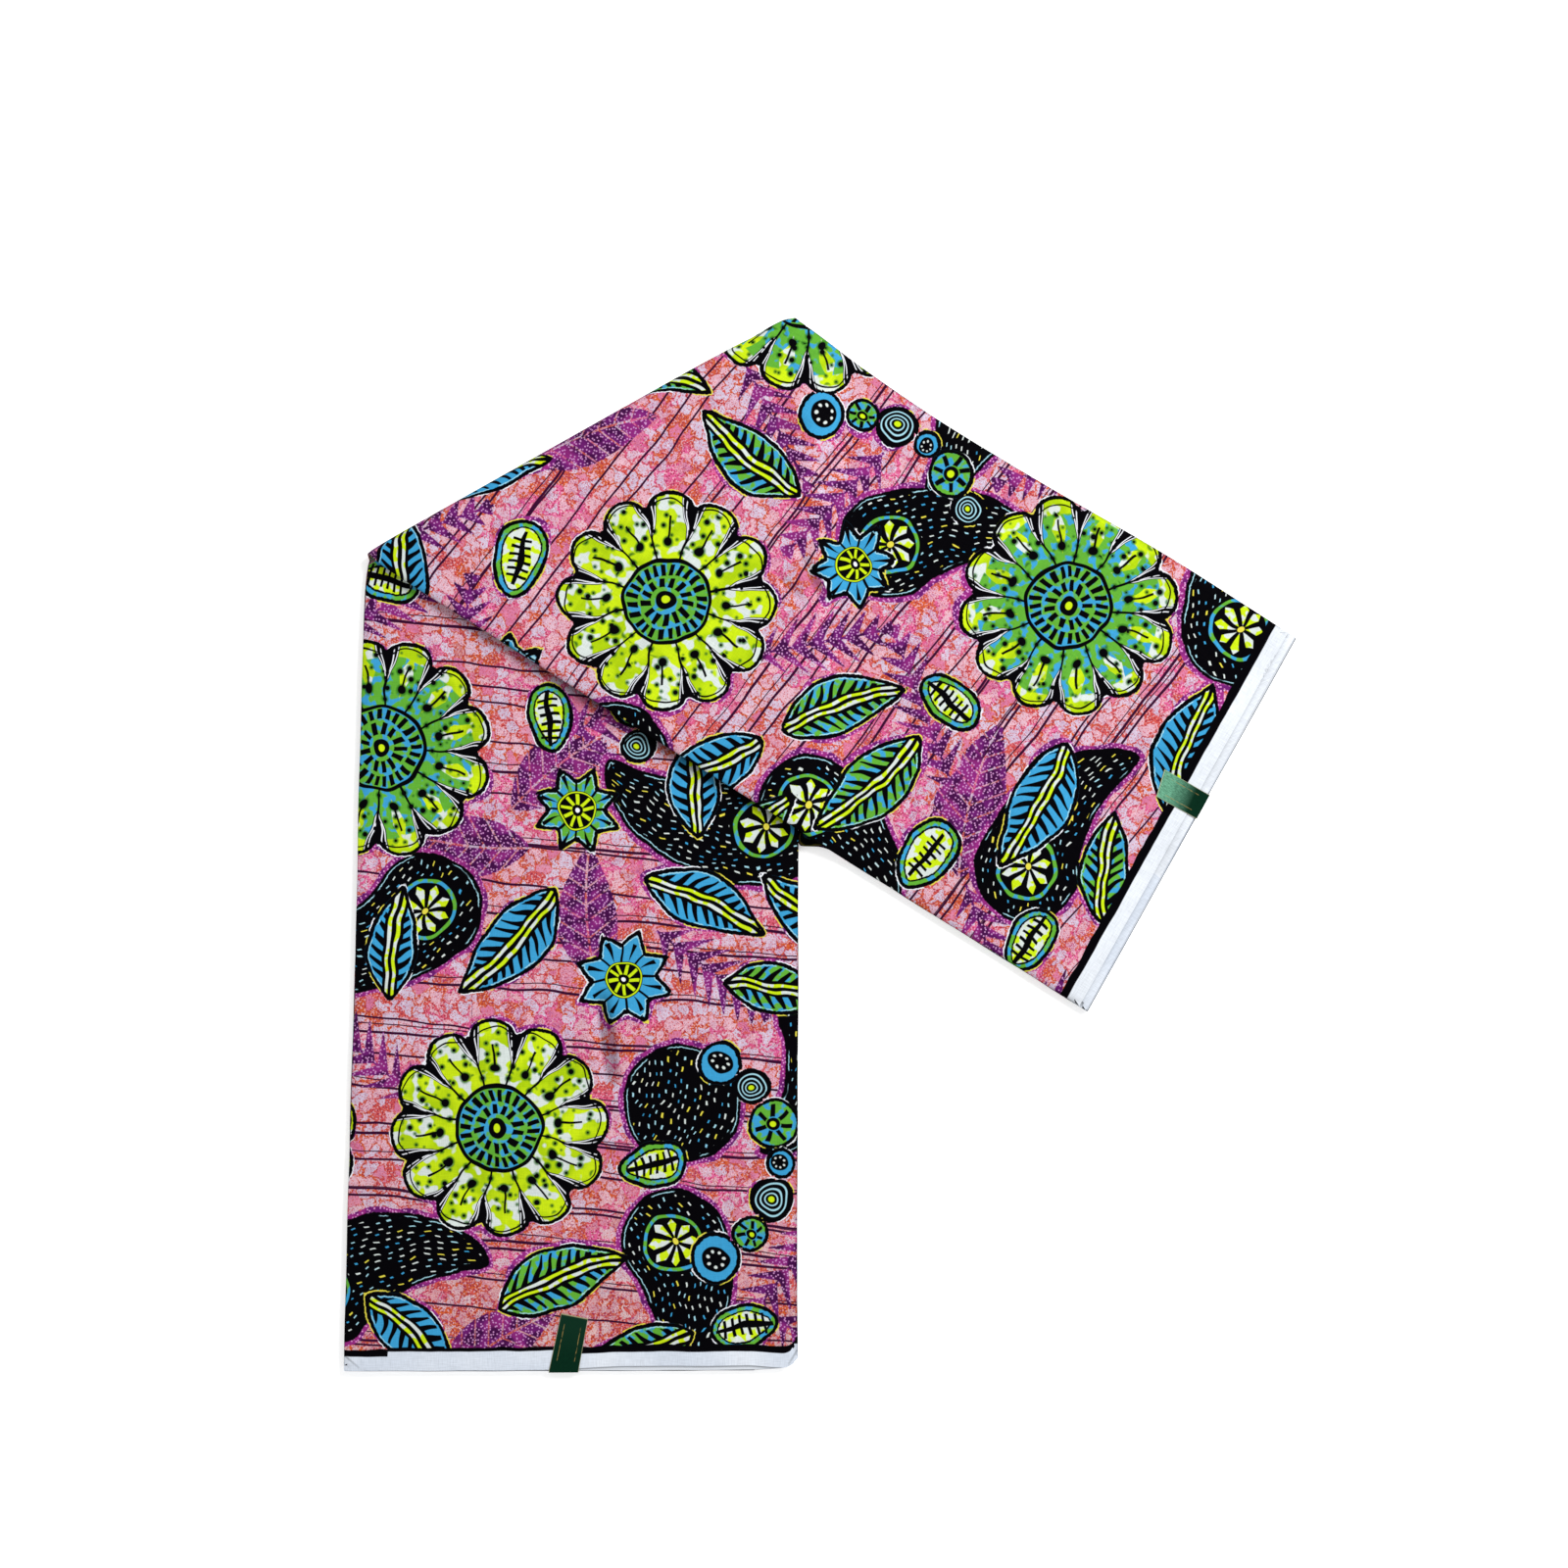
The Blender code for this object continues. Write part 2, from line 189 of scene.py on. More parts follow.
# Soft creases left by packing: where each starts and ends, how wide and how high, in millimetres.
# Places on the lower stretch are taken from its corner; on the upper one, from its front end corner
# towards the fold, and from the front side towards the back.
creases = {
    "lower": [
        ((-133, 208), (-140, 266), 6.5, -2.3),
        ((-147, 206), (-152, 262), 7.5, 1.3),
        ((-122, 214), (-127, 256), 5.5, 0.9),
        ((-252, 318), (-214, 330), 8.0, -0.5),
        ((-60, 120), (-22, 131), 7.0, 0.5),
        ((-290, 96), (-262, 130), 9.0, -0.6),
        ((-24, 300), (-10, 352), 8.0, 0.5),
        ((-318, 6), (-306, 15), 2.6, -0.7),
        ((-7, 3), (-2, 14), 2.2, -1.0),
    ],
    "upper": [
        ((316, 150), (350, 170), 5.5, -1.5),
        ((312, 160), (352, 181), 5.5, 1.0),
        ((330, 142), (362, 150), 4.5, -1.0),
        ((180, 70), (214, 64), 9.0, -0.6),
        ((70, 230), (96, 262), 8.0, 0.5),
        ((455, 60), (486, 96), 10.0, 0.7),
        ((395, 250), (420, 236), 8.0, -0.5),
        ((120, 150), (132, 186), 8.0, 0.4),
    ],
    "waves": 0.22,
}

endFront = frontSide(np.array(pack["frontLength"]))
towardFold = -heading(pack["frontHeading"])
towardBack = np.array([-towardFold[1], towardFold[0]])
if np.dot(backSide(np.array(pack["backLength"])) - endFront, towardBack) < 0.0:
    towardBack = -towardBack


def endCoordinates(spot):
    # Along the upper stretch from its end, and across it from its front side
    return np.stack([(spot - endFront) @ towardFold, (spot - endFront) @ towardBack], axis=-1)


def reliefOf(spot, side):
    # Height of the soft creases and waves at plan points given in metres
    height = np.zeros(spot.shape[:-1])
    for start, end, width, rise in creases[side]:
        start, end = np.array(start) * mm, np.array(end) * mm
        step = end - start
        share = np.clip(((spot - start) @ step) / (step @ step), 0.0, 1.0)
        gap = np.linalg.norm(spot - start - step * share[..., None], axis=-1)
        height += rise * mm * np.exp(-(gap / (width * mm)) ** 2) * (0.45 + 0.55 * np.sin(math.pi * share))
    x, y = spot[..., 0] / mm, spot[..., 1] / mm
    ripple = np.sin(x / 31.0 + np.sin(y / 47.0) * 1.3) * np.sin(y / 38.0 + 0.8 * np.sin(x / 60.0))
    ripple += 0.6 * np.sin(x / 13.0 + 2.0 * np.sin(y / 29.0)) * np.sin(y / 71.0 + 1.0)
    return height + creases["waves"] * mm * ripple


def creaseDepth(path, across):
    # Height of the creases in millimetres, for the painted shade in their troughs
    path, across = np.broadcast_arrays(path, across)
    depth = np.zeros(path.shape)
    low, up = path <= 1.0, path >= 2.0
    depth[low] = reliefOf(lowerSpot(across[low], path[low]), "lower") / mm
    depth[up] = reliefOf(endCoordinates(upperSpot(across[up], path[up] - 2.0)[0]), "upper") / mm
    return depth


def besideFront(path, across):
    # How far the lower stretch's points lie outside the upper one's front side, and how dark the painted
    # shadow there gets
    offset = lowerSpot(across, path) - frontSide(np.array(0.0))
    along = offset @ heading(pack["frontHeading"]) / mm
    outside = -offset @ towardBack / mm
    return np.maximum(outside, 0.0), np.interp(along, *zip(*pack["contactShade"]))


def rounded(path, across, level):
    # The level pressed down towards the underside near the sides and the ends
    fromSide = np.maximum(np.minimum(across, 1.0 - across), 0.0) * pack["hemWidth"] / mm
    fromEnd = np.maximum(np.minimum(path * axisReach, (3.0 - path) * upperLength), 0.0) / mm
    share = stack["shoulder"] * np.exp(-(fromSide / stack["shoulderRun"]) ** 2)
    share += (1.0 - share) * stack["endShoulder"] * np.exp(-(fromEnd / stack["shoulderRun"]) ** 2)
    turned = np.clip(path - 1.0, 0.0, 1.0)
    return level * (1.0 - share) + turned * share * thickness


def clothPlace(path, across, level):
    # Path: 0 to 1 along the lower stretch, to 2 round the fold, to 3 along the upper stretch
    path, across, level = (np.array(a, float) for a in np.broadcast_arrays(path, across, level))
    level = rounded(path, across, level)
    places = np.zeros(path.shape + (3,))
    low = path <= 1.0
    spot = lowerSpot(across[low], path[low])
    beyond = (spot - frontSide(np.array(0.0))) @ np.array([-heading(pack["frontHeading"])[1],
                                                           heading(pack["frontHeading"])[0]])
    clear = ease(-beyond / pack["creaseClear"])
    places[low, :2] = spot
    places[low, 2] = level[low] + reliefOf(spot, "lower") * clear * (level[low] / thickness) ** 2
    turning = (path > 1.0) & (path < 2.0)
    radius = outerRadius - level[turning]
    angle = math.pi * (path[turning] - 1.0)
    slide = (foldShift(across[turning]) * (path[turning] - 1.0))[:, None]
    places[turning, :2] = foldAxis(across[turning]) + foldAlong * slide
    places[turning, :2] += foldOut * (radius * np.sin(angle))[:, None]
    places[turning, 2] = outerRadius - radius * np.cos(angle)
    up = path >= 2.0
    spot, lift = upperSpot(across[up], path[up] - 2.0)
    rise = reliefOf(endCoordinates(spot), "upper") * ease((path[up] - 2.0) / pack["creaseStart"])
    places[up, :2] = spot
    places[up, 2] = lift + thickness - level[up] + rise * (1.0 - level[up] / thickness) ** 2
    for middle, pull, reach in pack["foldGives"]:
        gap = np.linalg.norm(places[..., :2] - middle, axis=-1)
        places[..., :2] += np.array(pull) * np.exp(-gap / reach)[..., None]
    places[..., :2] += pack["corner"]
    return places


def widthAt(path):
    zero = np.zeros_like(path)
    return np.linalg.norm(clothPlace(path, zero + 1.0, zero) - clothPlace(path, zero, zero), axis=-1)


def wholeShare(path):
    # Share of the whole way from the hem to the end
    lowerLength, foldEnd = axisReach - 0.09, axisReach - 0.065
    way = np.array([0.0, lowerLength, foldEnd, foldEnd + upperLength])
    return np.interp(path, [0.0, 1.0, 2.0, 3.0], way / way[-1])


def sideGroup(leaf, side):
    # Two leaves that share a side fold lie in one group
    return leaf // 2 if side else (leaf + 1) // 2


def sideOut(leaf, side, path):
    group = sideGroup(leaf, side)
    share = wholeShare(path)
    out = stack["rightOut" if side else "leftOut"][group] + np.zeros_like(path)
    out += stack["wander"] * np.sin(2.0 * math.pi * (3.0 * share + 0.37 * group + 0.5 * side))
    out += 0.4 * stack["wander"] * np.sin(2.0 * math.pi * (11.0 * share + 0.61 * group + 0.2 * side))
    if side and group > leafCount // 2 - stack["tuckedFolds"]:
        out -= stack["tuck"] * (1.0 - ease(share / stack["tuckRun"]))
    return out * mm


def endOut(leaf, atHem, across):
    out = stack["hemOut" if atHem else "endOut"][leaf]
    out = out + stack["jitter"] * np.sin(9.0 * across + 1.7 * leaf) * np.sin(3.1 * across + leaf)
    if atHem:
        out += 0.5 * stack["jitter"] * np.sin(41.0 * across + 2.2 * leaf)
        if leaf < leafCount - 3:
            step = stack["hemStepBack" if leaf < stack["steppedBack"] else "hemStep"]
            out += np.interp(across, *zip(*step))
            out -= stack["cornerCut"] * np.clip((across - 1.0) / stack["cornerRun"] + 1.0, 0.0, 1.0) ** 2.4
    return out * mm


def edgeAcross(leaf, side, path, inward=0.0):
    out = (sideOut(leaf, side, path) - inward) / widthAt(path)
    return 1.0 + out if side else -out


def endRate(across):
    # Metres along the upper stretch for each whole step of the path, close to its end
    step = 0.02
    last, before = (upperSpot(across, np.full(np.shape(across), share))[0] for share in (1.0, 1.0 - step))
    return np.linalg.norm(last - before, axis=-1) / step


def pathEnds(leaf, across):
    # Where a leaf starts at the hem and stops at the end, as path values
    return -endOut(leaf, True, across) / axisReach, 3.0 + endOut(leaf, False, across) / endRate(across)


def stretchPath(path, leaf, across):
    # The common rows, moved so that the leaf's own ends are reached
    low, high = pathEnds(leaf, across)
    return path + low * (1.0 - ease(path / 0.15)) + (high - 3.0) * ease((path - 2.85) / 0.15)


def selvedgeRun(leaf, path, across):
    # Distance from the nearer selvedge, in metres
    low, high = pathEnds(leaf, across)
    lowerRun = np.linalg.norm(foldAxis(across) - lowerSpot(across, 0.0 * across), axis=-1)
    return np.where(path < 1.5, (path - low) * lowerRun, (high - path) * endRate(across))


print("pack: shape functions ready, upper stretch", round(float(upperLength), 4), "m")


def gridFaces(rows, columns, flip=False):
    index = np.arange(rows * columns).reshape(rows, columns)
    corners = [index[:-1, :-1], index[:-1, 1:], index[1:, 1:], index[1:, :-1]]
    return np.stack(corners[::-1] if flip else corners, axis=-1).reshape(-1, 4)


def meshObject(name, points, faces):
    mesh = bpy.data.meshes.new(name)
    mesh.from_pydata(points.reshape(-1, 3).tolist(), [], faces.tolist())
    mesh.update()
    mesh.shade_smooth()
    obj = bpy.data.objects.new(name, mesh)
    bpy.context.scene.collection.objects.link(obj)
    return obj


def cornerVectors(obj, name, values):
    layer = obj.data.attributes.new(name, "FLOAT_VECTOR", "CORNER")
    layer.data.foreach_set("vector", np.ascontiguousarray(values, dtype=np.float32).ravel())


def bakeMap(obj, uv):
    layer = obj.data.uv_layers.new(name="OFBake")
    layer.data.foreach_set("uv", np.ascontiguousarray(uv, dtype=np.float32).ravel())


# The printed design, on a repeat that is 640 mm across the cloth and 600 mm along the strip.
# Each row: kind, x, y, turn in degrees, size in millimetres, variant. The lower stretch shows x 0 to
# 327 and the upper one x 332 to 640, both from the selvedge at y 0.
design = {
    "repeat": (640.0, 600.0),
    "far": 99.0,  # stands for no motif nearby
    "leafWidth": 326.5,
    "between": 330.0,  # an x between what the two stretches show
    "lowerStart": 327.0,
    "upperStart": 332.0,
    "front": [
        ("blossom", 112, 172, 4, 79, 0),
        ("blossom", 28, 446, 12, 79, 1),
        ("blossom", 572, 168, 9, 79, 1),
        ("blossom", 420, 414, 0, 79, 0),
        ("leaf", 554, 514, 281, 48, 1),
        ("leaf", 118, 307, 227, 52, 0),
        ("leaf", 532, 38, 13, 52, 0),
        ("leaf", 260, 331, 335, 48, 0),
        ("leaf", 137, 556, 19, 52, 1),
        ("leaf", 158, 61, 22, 52, 1),
        ("leaf", 437, 113, 183, 52, 0),
        ("leaf", 385, 223, 163, 52, 1),
        ("leaf", 340, 584, 33, 48, 0),
        ("leaf", 422, 265, 321, 48, 1),
        ("leaf", 48, 19, 314, 48, 0),
        ("leaf", 543, 420, 81, 48, 1),
        ("leaf", 430, 573, 313, 48, 0),
        ("leaf", 211, 16, 195, 42, 1),
        ("leaf", 257, 423, 90, 42, 0),
        ("leaf", 338, 329, 144, 46, 0),
        ("leaf", 313, 268, 349, 42, 1),
        ("leaf", 429, 42, 26, 42, 1),
        ("leaf", 40, 306, 83, 42, 0),
        ("star", 312, 483, 26, 33, 0),
        ("star", 598, 2, 247, 37, 1),
        ("star", 514, 315, 42, 33, 0),
        ("star", 202, 280, 252, 37, 0),
        ("star", 168, 401, 67, 33, 1),
        ("cowrie", 468, 204, 82, 25, 0),
        ("cowrie", 390, 520, 199, 29, 0),
        ("cowrie", 353, 63, 177, 25, 0),
        ("cowrie", 149, 467, 276, 25, 0),
        ("cowrie", 30, 567, 168, 25, 0),
        ("cowrie", 223, 146, 193, 25, 0),
        ("cowrie", 289, 30, 10, 25, 0),
        ("cowrie", 365, 158, 173, 29, 0),
    ],
    "garlands": [  # centre, radius, first and last angle in degrees, bead sizes in turn
        ((236, 150), 78, -66, 74, (18, 13, 16, 11)),
        ((520, 330), 96, 40, -50, (17, 12, 15, 10)),
        ((330, 470), 120, 120, 200, (18, 13, 16, 12)),
    ],
    "back": [  # black forms that lie behind the others
        ("pod", 238, 90, 118, 84, 0),
        ("pod", 60, 330, 48, 88, 0),
        ("pod", 396, 92, 200, 84, 0),
        ("pod", 540, 300, 150, 84, 0),
        ("pod", 350, 250, 95, 80, 0),
        ("pod", 303, 388, 9, 92, 0),
        ("pod", 623, 55, 222, 92, 0),
        ("moon", 244, 190, 75, 43, 0),
    ],
    "tone": [  # purple forms in the ground
        ("toneLeaf", 490, 521, 322, 50, 0),
        ("frond", 456, 303, 313, 52, 0),
        ("frond", 14, 227, 139, 52, 0),
        ("toneLeaf", 589, 534, 173, 50, 0),
        ("frond", 316, 522, 24, 52, 0),
        ("frond", 321, 72, 231, 66, 0),
        ("frond", 361, 597, 321, 66, 0),
        ("toneLeaf", 419, 149, 17, 58, 0),
        ("frond", 211, 472, 16, 66, 0),
        ("toneLeaf", 180, 327, 93, 50, 0),
        ("frond", 567, 412, 239, 52, 0),
        ("frond", 267, 283, 323, 52, 0),
        ("toneLeaf", 85, 381, 172, 50, 0),
        ("frond", 543, 350, 168, 52, 0),
        ("toneLeaf", 161, 432, 37, 50, 0),
        ("frond", 24, 545, 23, 52, 0),
        ("toneLeaf", 565, 586, 341, 50, 0),
        ("toneLeaf", 112, 14, 33, 50, 0),
        ("frond", 453, 217, 53, 66, 0),
    ],
}

motifKinds = {"blossom": 1, "leaf": 2, "bead": 3, "cowrie": 4, "star": 5, "pod": 6, "moon": 7, "toneLeaf": 8,
              "frond": 9}


def around(count):
    return np.linspace(0.0, 2.0 * math.pi, count, endpoint=False)


def ringPoints(turn, radius):
    return np.stack([radius * np.cos(turn), radius * np.sin(turn)], axis=-1)


blossomPetals = 12
starPoints = 8


def blossomOutline(size):
    turn = around(180)
    petal = (turn * blossomPetals / (2.0 * math.pi) + 0.5) % 1.0 - 0.5
    return ringPoints(turn, size * (0.80 + 0.20 * np.sqrt(1.0 - 3.9 * petal ** 2)))


leafShape = {"bend": 5.0, "bendReach": 50.0}  # the middle line rises this much, over this half length


def leafBend(along):
    return leafShape["bend"] * (1.0 - (along / leafShape["bendReach"]) ** 2)


def leafOutline(size):
    along = np.linspace(-1.0, 1.0, 40)
    half = 0.43 * size * np.cos(0.5 * math.pi * along) ** 0.8 * (1.0 - 0.28 * along)
    upper = np.stack([along * size, half + leafBend(along * size)], axis=-1)
    lower = np.stack([along * size, -half + leafBend(along * size)], axis=-1)
    return np.concatenate([upper, lower[::-1][1:-1]])


def podOutline(size):
    # A drop with a round head at the origin and a tail that curls to one side
    share = np.linspace(0.0, 1.0, 50)
    spineX = -1.15 * size * np.sin(1.35 * share)
    spineY = 0.75 * size * (1.0 - np.cos(1.55 * share))
    half = 0.46 * size * (1.0 - share) ** 0.62
    stepX, stepY = np.gradient(spineX), np.gradient(spineY)
    norm = np.hypot(stepX, stepY)
    left = np.stack([spineX - stepY / norm * half, spineY + stepX / norm * half], axis=-1)
    right = np.stack([spineX + stepY / norm * half, spineY - stepX / norm * half], axis=-1)
    head = np.linspace(-0.5 * math.pi, 0.5 * math.pi, 24)[1:-1]
    return np.concatenate([ringPoints(head, 0.46 * size), right[:-1], left[::-1]])


def cowrieOutline(size):
    turn = around(60)
    half = 0.66 * (1.0 - 0.16 * np.cos(turn))
    return size * np.stack([np.cos(turn), half * np.sin(turn)], axis=-1)


def starOutline(size):
    turn = around(160)
    point = np.abs((turn * starPoints / (2.0 * math.pi) + 0.5) % 1.0 - 0.5)
    return ringPoints(turn, size * (1.0 - 0.36 * (2.0 * point) ** 0.8))


outlines = {
    "blossom": blossomOutline,
    "leaf": leafOutline,
    "bead": lambda size: ringPoints(around(40), size),
    "cowrie": cowrieOutline,
    "star": starOutline,
    "pod": podOutline,
    "moon": lambda size: ringPoints(around(60), size),
    "toneLeaf": leafOutline,
    "frond": lambda size: ringPoints(around(60), 1.0) * (size, 22.0),
}


def garlandBeads():
    beads = []
    for centre, radius, first, last, sizes in design["garlands"]:
        angle, way = math.radians(first), math.copysign(1.0, last - first)
        count = 0
        while (math.radians(last) - angle) * way > 0.0:
            size = sizes[count % len(sizes)]
            x, y = centre[0] + radius * math.cos(angle), centre[1] + radius * math.sin(angle)
            beads.append(("bead", x, y, math.degrees(angle), size, count % 3))
            angle += way * (size + sizes[(count + 1) % len(sizes)]) / radius
            count += 1
    return beads


def turned(points, degrees):
    c, s = math.cos(math.radians(degrees)), math.sin(math.radians(degrees))
    return points @ np.array([[c, s], [-s, c]])


def outlineDistance(points, outline):
    # Distance to a closed outline, below zero inside it
    step = np.roll(outline, -1, axis=0) - outline
    x, y = points[:, 0][:, None], points[:, 1][:, None]
    offsetX, offsetY = x - outline[:, 0], y - outline[:, 1]
    share = np.clip((offsetX * step[:, 0] + offsetY * step[:, 1]) / (step * step).sum(-1), 0.0, 1.0)
    gap = ((offsetX - share * step[:, 0]) ** 2 + (offsetY - share * step[:, 1]) ** 2).min(axis=1) ** 0.5
    spans = (outline[:, 1] > y) != (np.roll(outline[:, 1], -1) > y)
    rise = np.where(step[:, 1] == 0.0, 1e-9, step[:, 1])
    inside = (spans & (x < outline[:, 0] + offsetY * step[:, 0] / rise)).sum(axis=1) % 2 == 1
    return np.where(inside, -gap, gap)


def repeats(start, low, high):
    # All the places where a motif comes again between two corners
    counts = [range(math.ceil((low[i] - start[i]) / step), 1 + math.floor((high[i] - start[i]) / step))
              for i, step in enumerate(design["repeat"])]
    width, height = design["repeat"]
    return [(start[0] + width * column, start[1] + height * line)
            for column in counts[0] for line in counts[1]]


def nearestMotif(flat, faces, rows):
    # For each face, the place in its nearest motif, the distance to that outline, and what it is
    far = design["far"]
    nearest = np.full(len(faces), far)
    place = np.zeros((len(faces), 4, 3))
    place[..., 2] = far
    look = np.zeros((len(faces), 3))
    low, high = flat.min(axis=0), flat.max(axis=0)
    for kind, startX, startY, turn, size, variant in rows:
        outline = outlines[kind](size)
        reach = np.abs(outline).max() * 1.25 + 14.0  # bands and wandering lines stay inside this
        for x, y in repeats((startX, startY), low - reach, high + reach):
            close = (np.abs(flat[:, 0] - x) < reach) & (np.abs(flat[:, 1] - y) < reach)
            chosen = np.nonzero(close[faces[:, 0]])[0]
            if len(chosen) == 0:
                continue
            near = np.nonzero(close)[0]
            local = turned(flat[near] - (x, y), -turn)
            inner = np.full((len(flat), 3), far)
            inner[near, :2] = local
            inner[near, 2] = outlineDistance(local, outline)
            middle = inner[faces[chosen], 2].mean(axis=1)
            better = chosen[middle < nearest[chosen]]
            nearest[better] = middle[middle < nearest[chosen]]
            place[better] = inner[faces[better]]
            look[better] = (motifKinds[kind], size, variant)
    return place, np.repeat(look[:, None, :], 4, axis=1)


def printCloth(obj, flat, faces, selvedge, depth=0.0, shade=0.0, outside=0.0,
               rims=(design["far"], design["far"])):
    # flat: the design's x and y at each point, in millimetres; selvedge: metres from the nearer selvedge;
    # depth: height of the creases, for the painted shade in their troughs; shade: painted shade, 0 open to 1
    # quite dark, right beside the edge that covers the cloth; outside: distance from that edge, over which
    # the painted shade fades; rims: distances to a folded and to a cut edge, for a painted dark rim
    cornerVectors(obj, "flatPlace", np.concatenate([flat, selvedge[:, None] / mm], axis=1)[faces])
    relief = np.stack(np.broadcast_arrays(depth, shade, outside + np.zeros(len(flat))), axis=-1)
    cornerVectors(obj, "paintedShadePlace", relief[faces])
    rimPlaces = np.stack(np.broadcast_arrays(*rims, np.zeros(len(flat))), axis=-1)
    cornerVectors(obj, "rimPlace", rimPlaces[faces])
    for layer, rows in (("front", design["front"] + garlandBeads()), ("back", design["back"]),
                        ("tone", design["tone"])):
        place, look = nearestMotif(flat, faces, rows)
        cornerVectors(obj, layer + "Place", place)
        cornerVectors(obj, layer + "Look", look)


def outerFlat(path, across):
    # The outer leaf laid flat: along and across the upper stretch, on round the fold and below
    spot = np.zeros(path.shape + (2,))
    up = path >= 2.0
    spot[up] = upperSpot(across[up], path[up] - 2.0)[0]
    turning = (path > 1.0) & ~up
    slide = foldAlong * foldShift(across)[..., None]
    arc = outerRadius * math.pi * (2.0 - path)
    spot[turning] = (foldAxis(across) + slide + foldOut * arc[..., None])[turning]
    low = path <= 1.0
    plan = lowerSpot(across, np.minimum(path, 1.0))
    back = ((plan - foldAxis(across)) @ foldOut)[..., None]
    mirrored = plan + foldOut * (outerRadius * math.pi - 2.0 * back) + slide
    spot[low] = mirrored[low]
    return endCoordinates(spot)[..., ::-1] / mm + (design["upperStart"], 0.0)


def innerFlat(path, across):
    # The inner leaf laid flat, which shows on top of the lower stretch
    plan = lowerSpot(across, np.minimum(path, 1.0))
    plan[..., 1] += np.maximum(path - 1.0, 0.0) * upperLength
    return plan / mm + (design["lowerStart"], 0.0)


def fineShares(count, close, steps):
    # Even shares with a few closer ones at both ends
    start = np.linspace(0.0, close, steps, endpoint=False)
    return np.concatenate([start, np.linspace(close, 1.0 - close, count), 1.0 - start[::-1]])


sheets = {
    "lower_top": {"leaf": 0, "paths": (0.0, 1.0), "rows": 236, "columns": 104, "level": thickness},
    "upper_top": {"leaf": 16, "paths": (1.0, 2.0, 3.0), "rows": 186, "columns": 104, "level": 0.0},
    "lower_under": {"leaf": 16, "paths": (0.0, 1.0), "rows": 120, "columns": 52, "level": 0.0},
    "upper_under": {"leaf": 0, "paths": (1.0, 2.0, 3.0), "rows": 96, "columns": 52, "level": thickness},
    "foldRows": 14,
    "closeRows": (0.03, 14),  # closer rows near the ends: over which share, and how many
    "closeColumns": (0.04, 9),
}


def foldedRims(leaf, path, across):
    # Distance from the nearest folded edge, at the sides or along the slanting fold, in millimetres
    left, right = edgeAcross(leaf, 0, path[:, 0])[:, None], edgeAcross(leaf, 1, path[:, -1])[:, None]
    fromSide = np.minimum(across - left, right - across) * widthAt(path[:, 0])[:, None]
    if path.max() < 1.5:
        return fromSide / mm
    fromFold = outerRadius * (1.0 - np.sin(math.pi * np.clip(path - 1.0, 0.0, 1.0)))
    return np.minimum(fromSide, fromFold + np.maximum(path - 2.0, 0.0) * upperLength) / mm


def makeSheet(name):
    sizes = sheets[name]
    leaf, outer = sizes["leaf"], sizes["level"] == 0.0
    rows = fineShares(sizes["rows"], *sheets["closeRows"]) + sizes["paths"][-2]
    if len(sizes["paths"]) == 3:
        rows = np.concatenate([np.linspace(1.0, 2.0, sheets["foldRows"], endpoint=False), rows])
    columns = fineShares(sizes["columns"], *sheets["closeColumns"])
    path, share = np.meshgrid(rows, columns, indexing="ij")
    path = stretchPath(path, leaf, share)
    leftNose = stack["nose"] * mm if outer else 0.0
    rightNose = 0.0 if outer else stack["nose"] * mm
    left = edgeAcross(leaf, 0, path[:, 0], leftNose)[:, None]
    right = edgeAcross(leaf, 1, path[:, -1], rightNose)[:, None]
    across = left + (right - left) * share
    points = clothPlace(path, across, np.full(path.shape, sizes["level"]))
    faces = gridFaces(*path.shape, flip=outer)
    obj = meshObject(name, points, faces)
    flat = (outerFlat if outer else innerFlat)(path, across).reshape(-1, 2)
    onTop = name in ("lower_top", "upper_top")
    depth = creaseDepth(path, across) * onTop
    # Painted shadow beside the upper stretch's front side, and distances for a painted dark rim along the
    # seen folded edges
    outside, shade = besideFront(path, across) if name == "lower_top" else (0.0 * path, 0.0 * path)
    seenRims = foldedRims(leaf, path, across).ravel() if onTop else design["far"]
    printCloth(obj, flat, faces, selvedgeRun(leaf, path, share).ravel(), depth.ravel(), shade.ravel(),
               outside.ravel(), (seenRims, design["far"]))
    run = (np.arange(len(rows)) / (len(rows) - 1.0))[:, None] + np.zeros_like(share)
    uv = np.stack([0.004 + 0.992 * share, 0.004 + 0.992 * run], axis=-1).reshape(-1, 2)
    bakeMap(obj, uv[faces])
    print("sheet", name, len(faces), "faces")
    return obj


lowerTop = makeSheet("lower_top")
upperTop = makeSheet("upper_top")
lowerUnder = makeSheet("lower_under")
upperUnder = makeSheet("upper_under")


# The edges of all the leaves: a narrow strip round each one, joined in pairs at the side folds
edges = {
    "lowerRows": 150,
    "foldRows": 10,
    "upperRows": 110,
    "columns": 84,
    "foldShade": 0.85,  # painted shade in the gaps between the folds
    # faint painted shade on the cut faces
    "cutShade": 0.05,
    "lineShade": 0.30,  # painted shade beside the next leaf's cut edge
    "lineFade": 4.0,
}


def edgeLoop(leaf):
    # Outer and inner path and share values round one leaf, with 1 where a side fold runs
    side = np.concatenate([
        np.linspace(0.0, 1.0, edges["lowerRows"], endpoint=False),
        np.linspace(1.0, 2.0, edges["foldRows"], endpoint=False),
        np.linspace(2.0, 3.0, edges["upperRows"]),
    ])[1:-1]
    end = np.linspace(0.0, 1.0, edges["columns"])
    rows = np.concatenate([side[::-1], 0.0 * end, side, 3.0 + 0.0 * end])
    share = np.concatenate([0.0 * side, end, 1.0 + 0.0 * side, end[::-1]])
    folds = np.concatenate([0.0 * side + 1.0, 0.0 * end, 0.0 * side + 1.0, 0.0 * end])
    return stretchPath(rows, leaf, share), share, folds


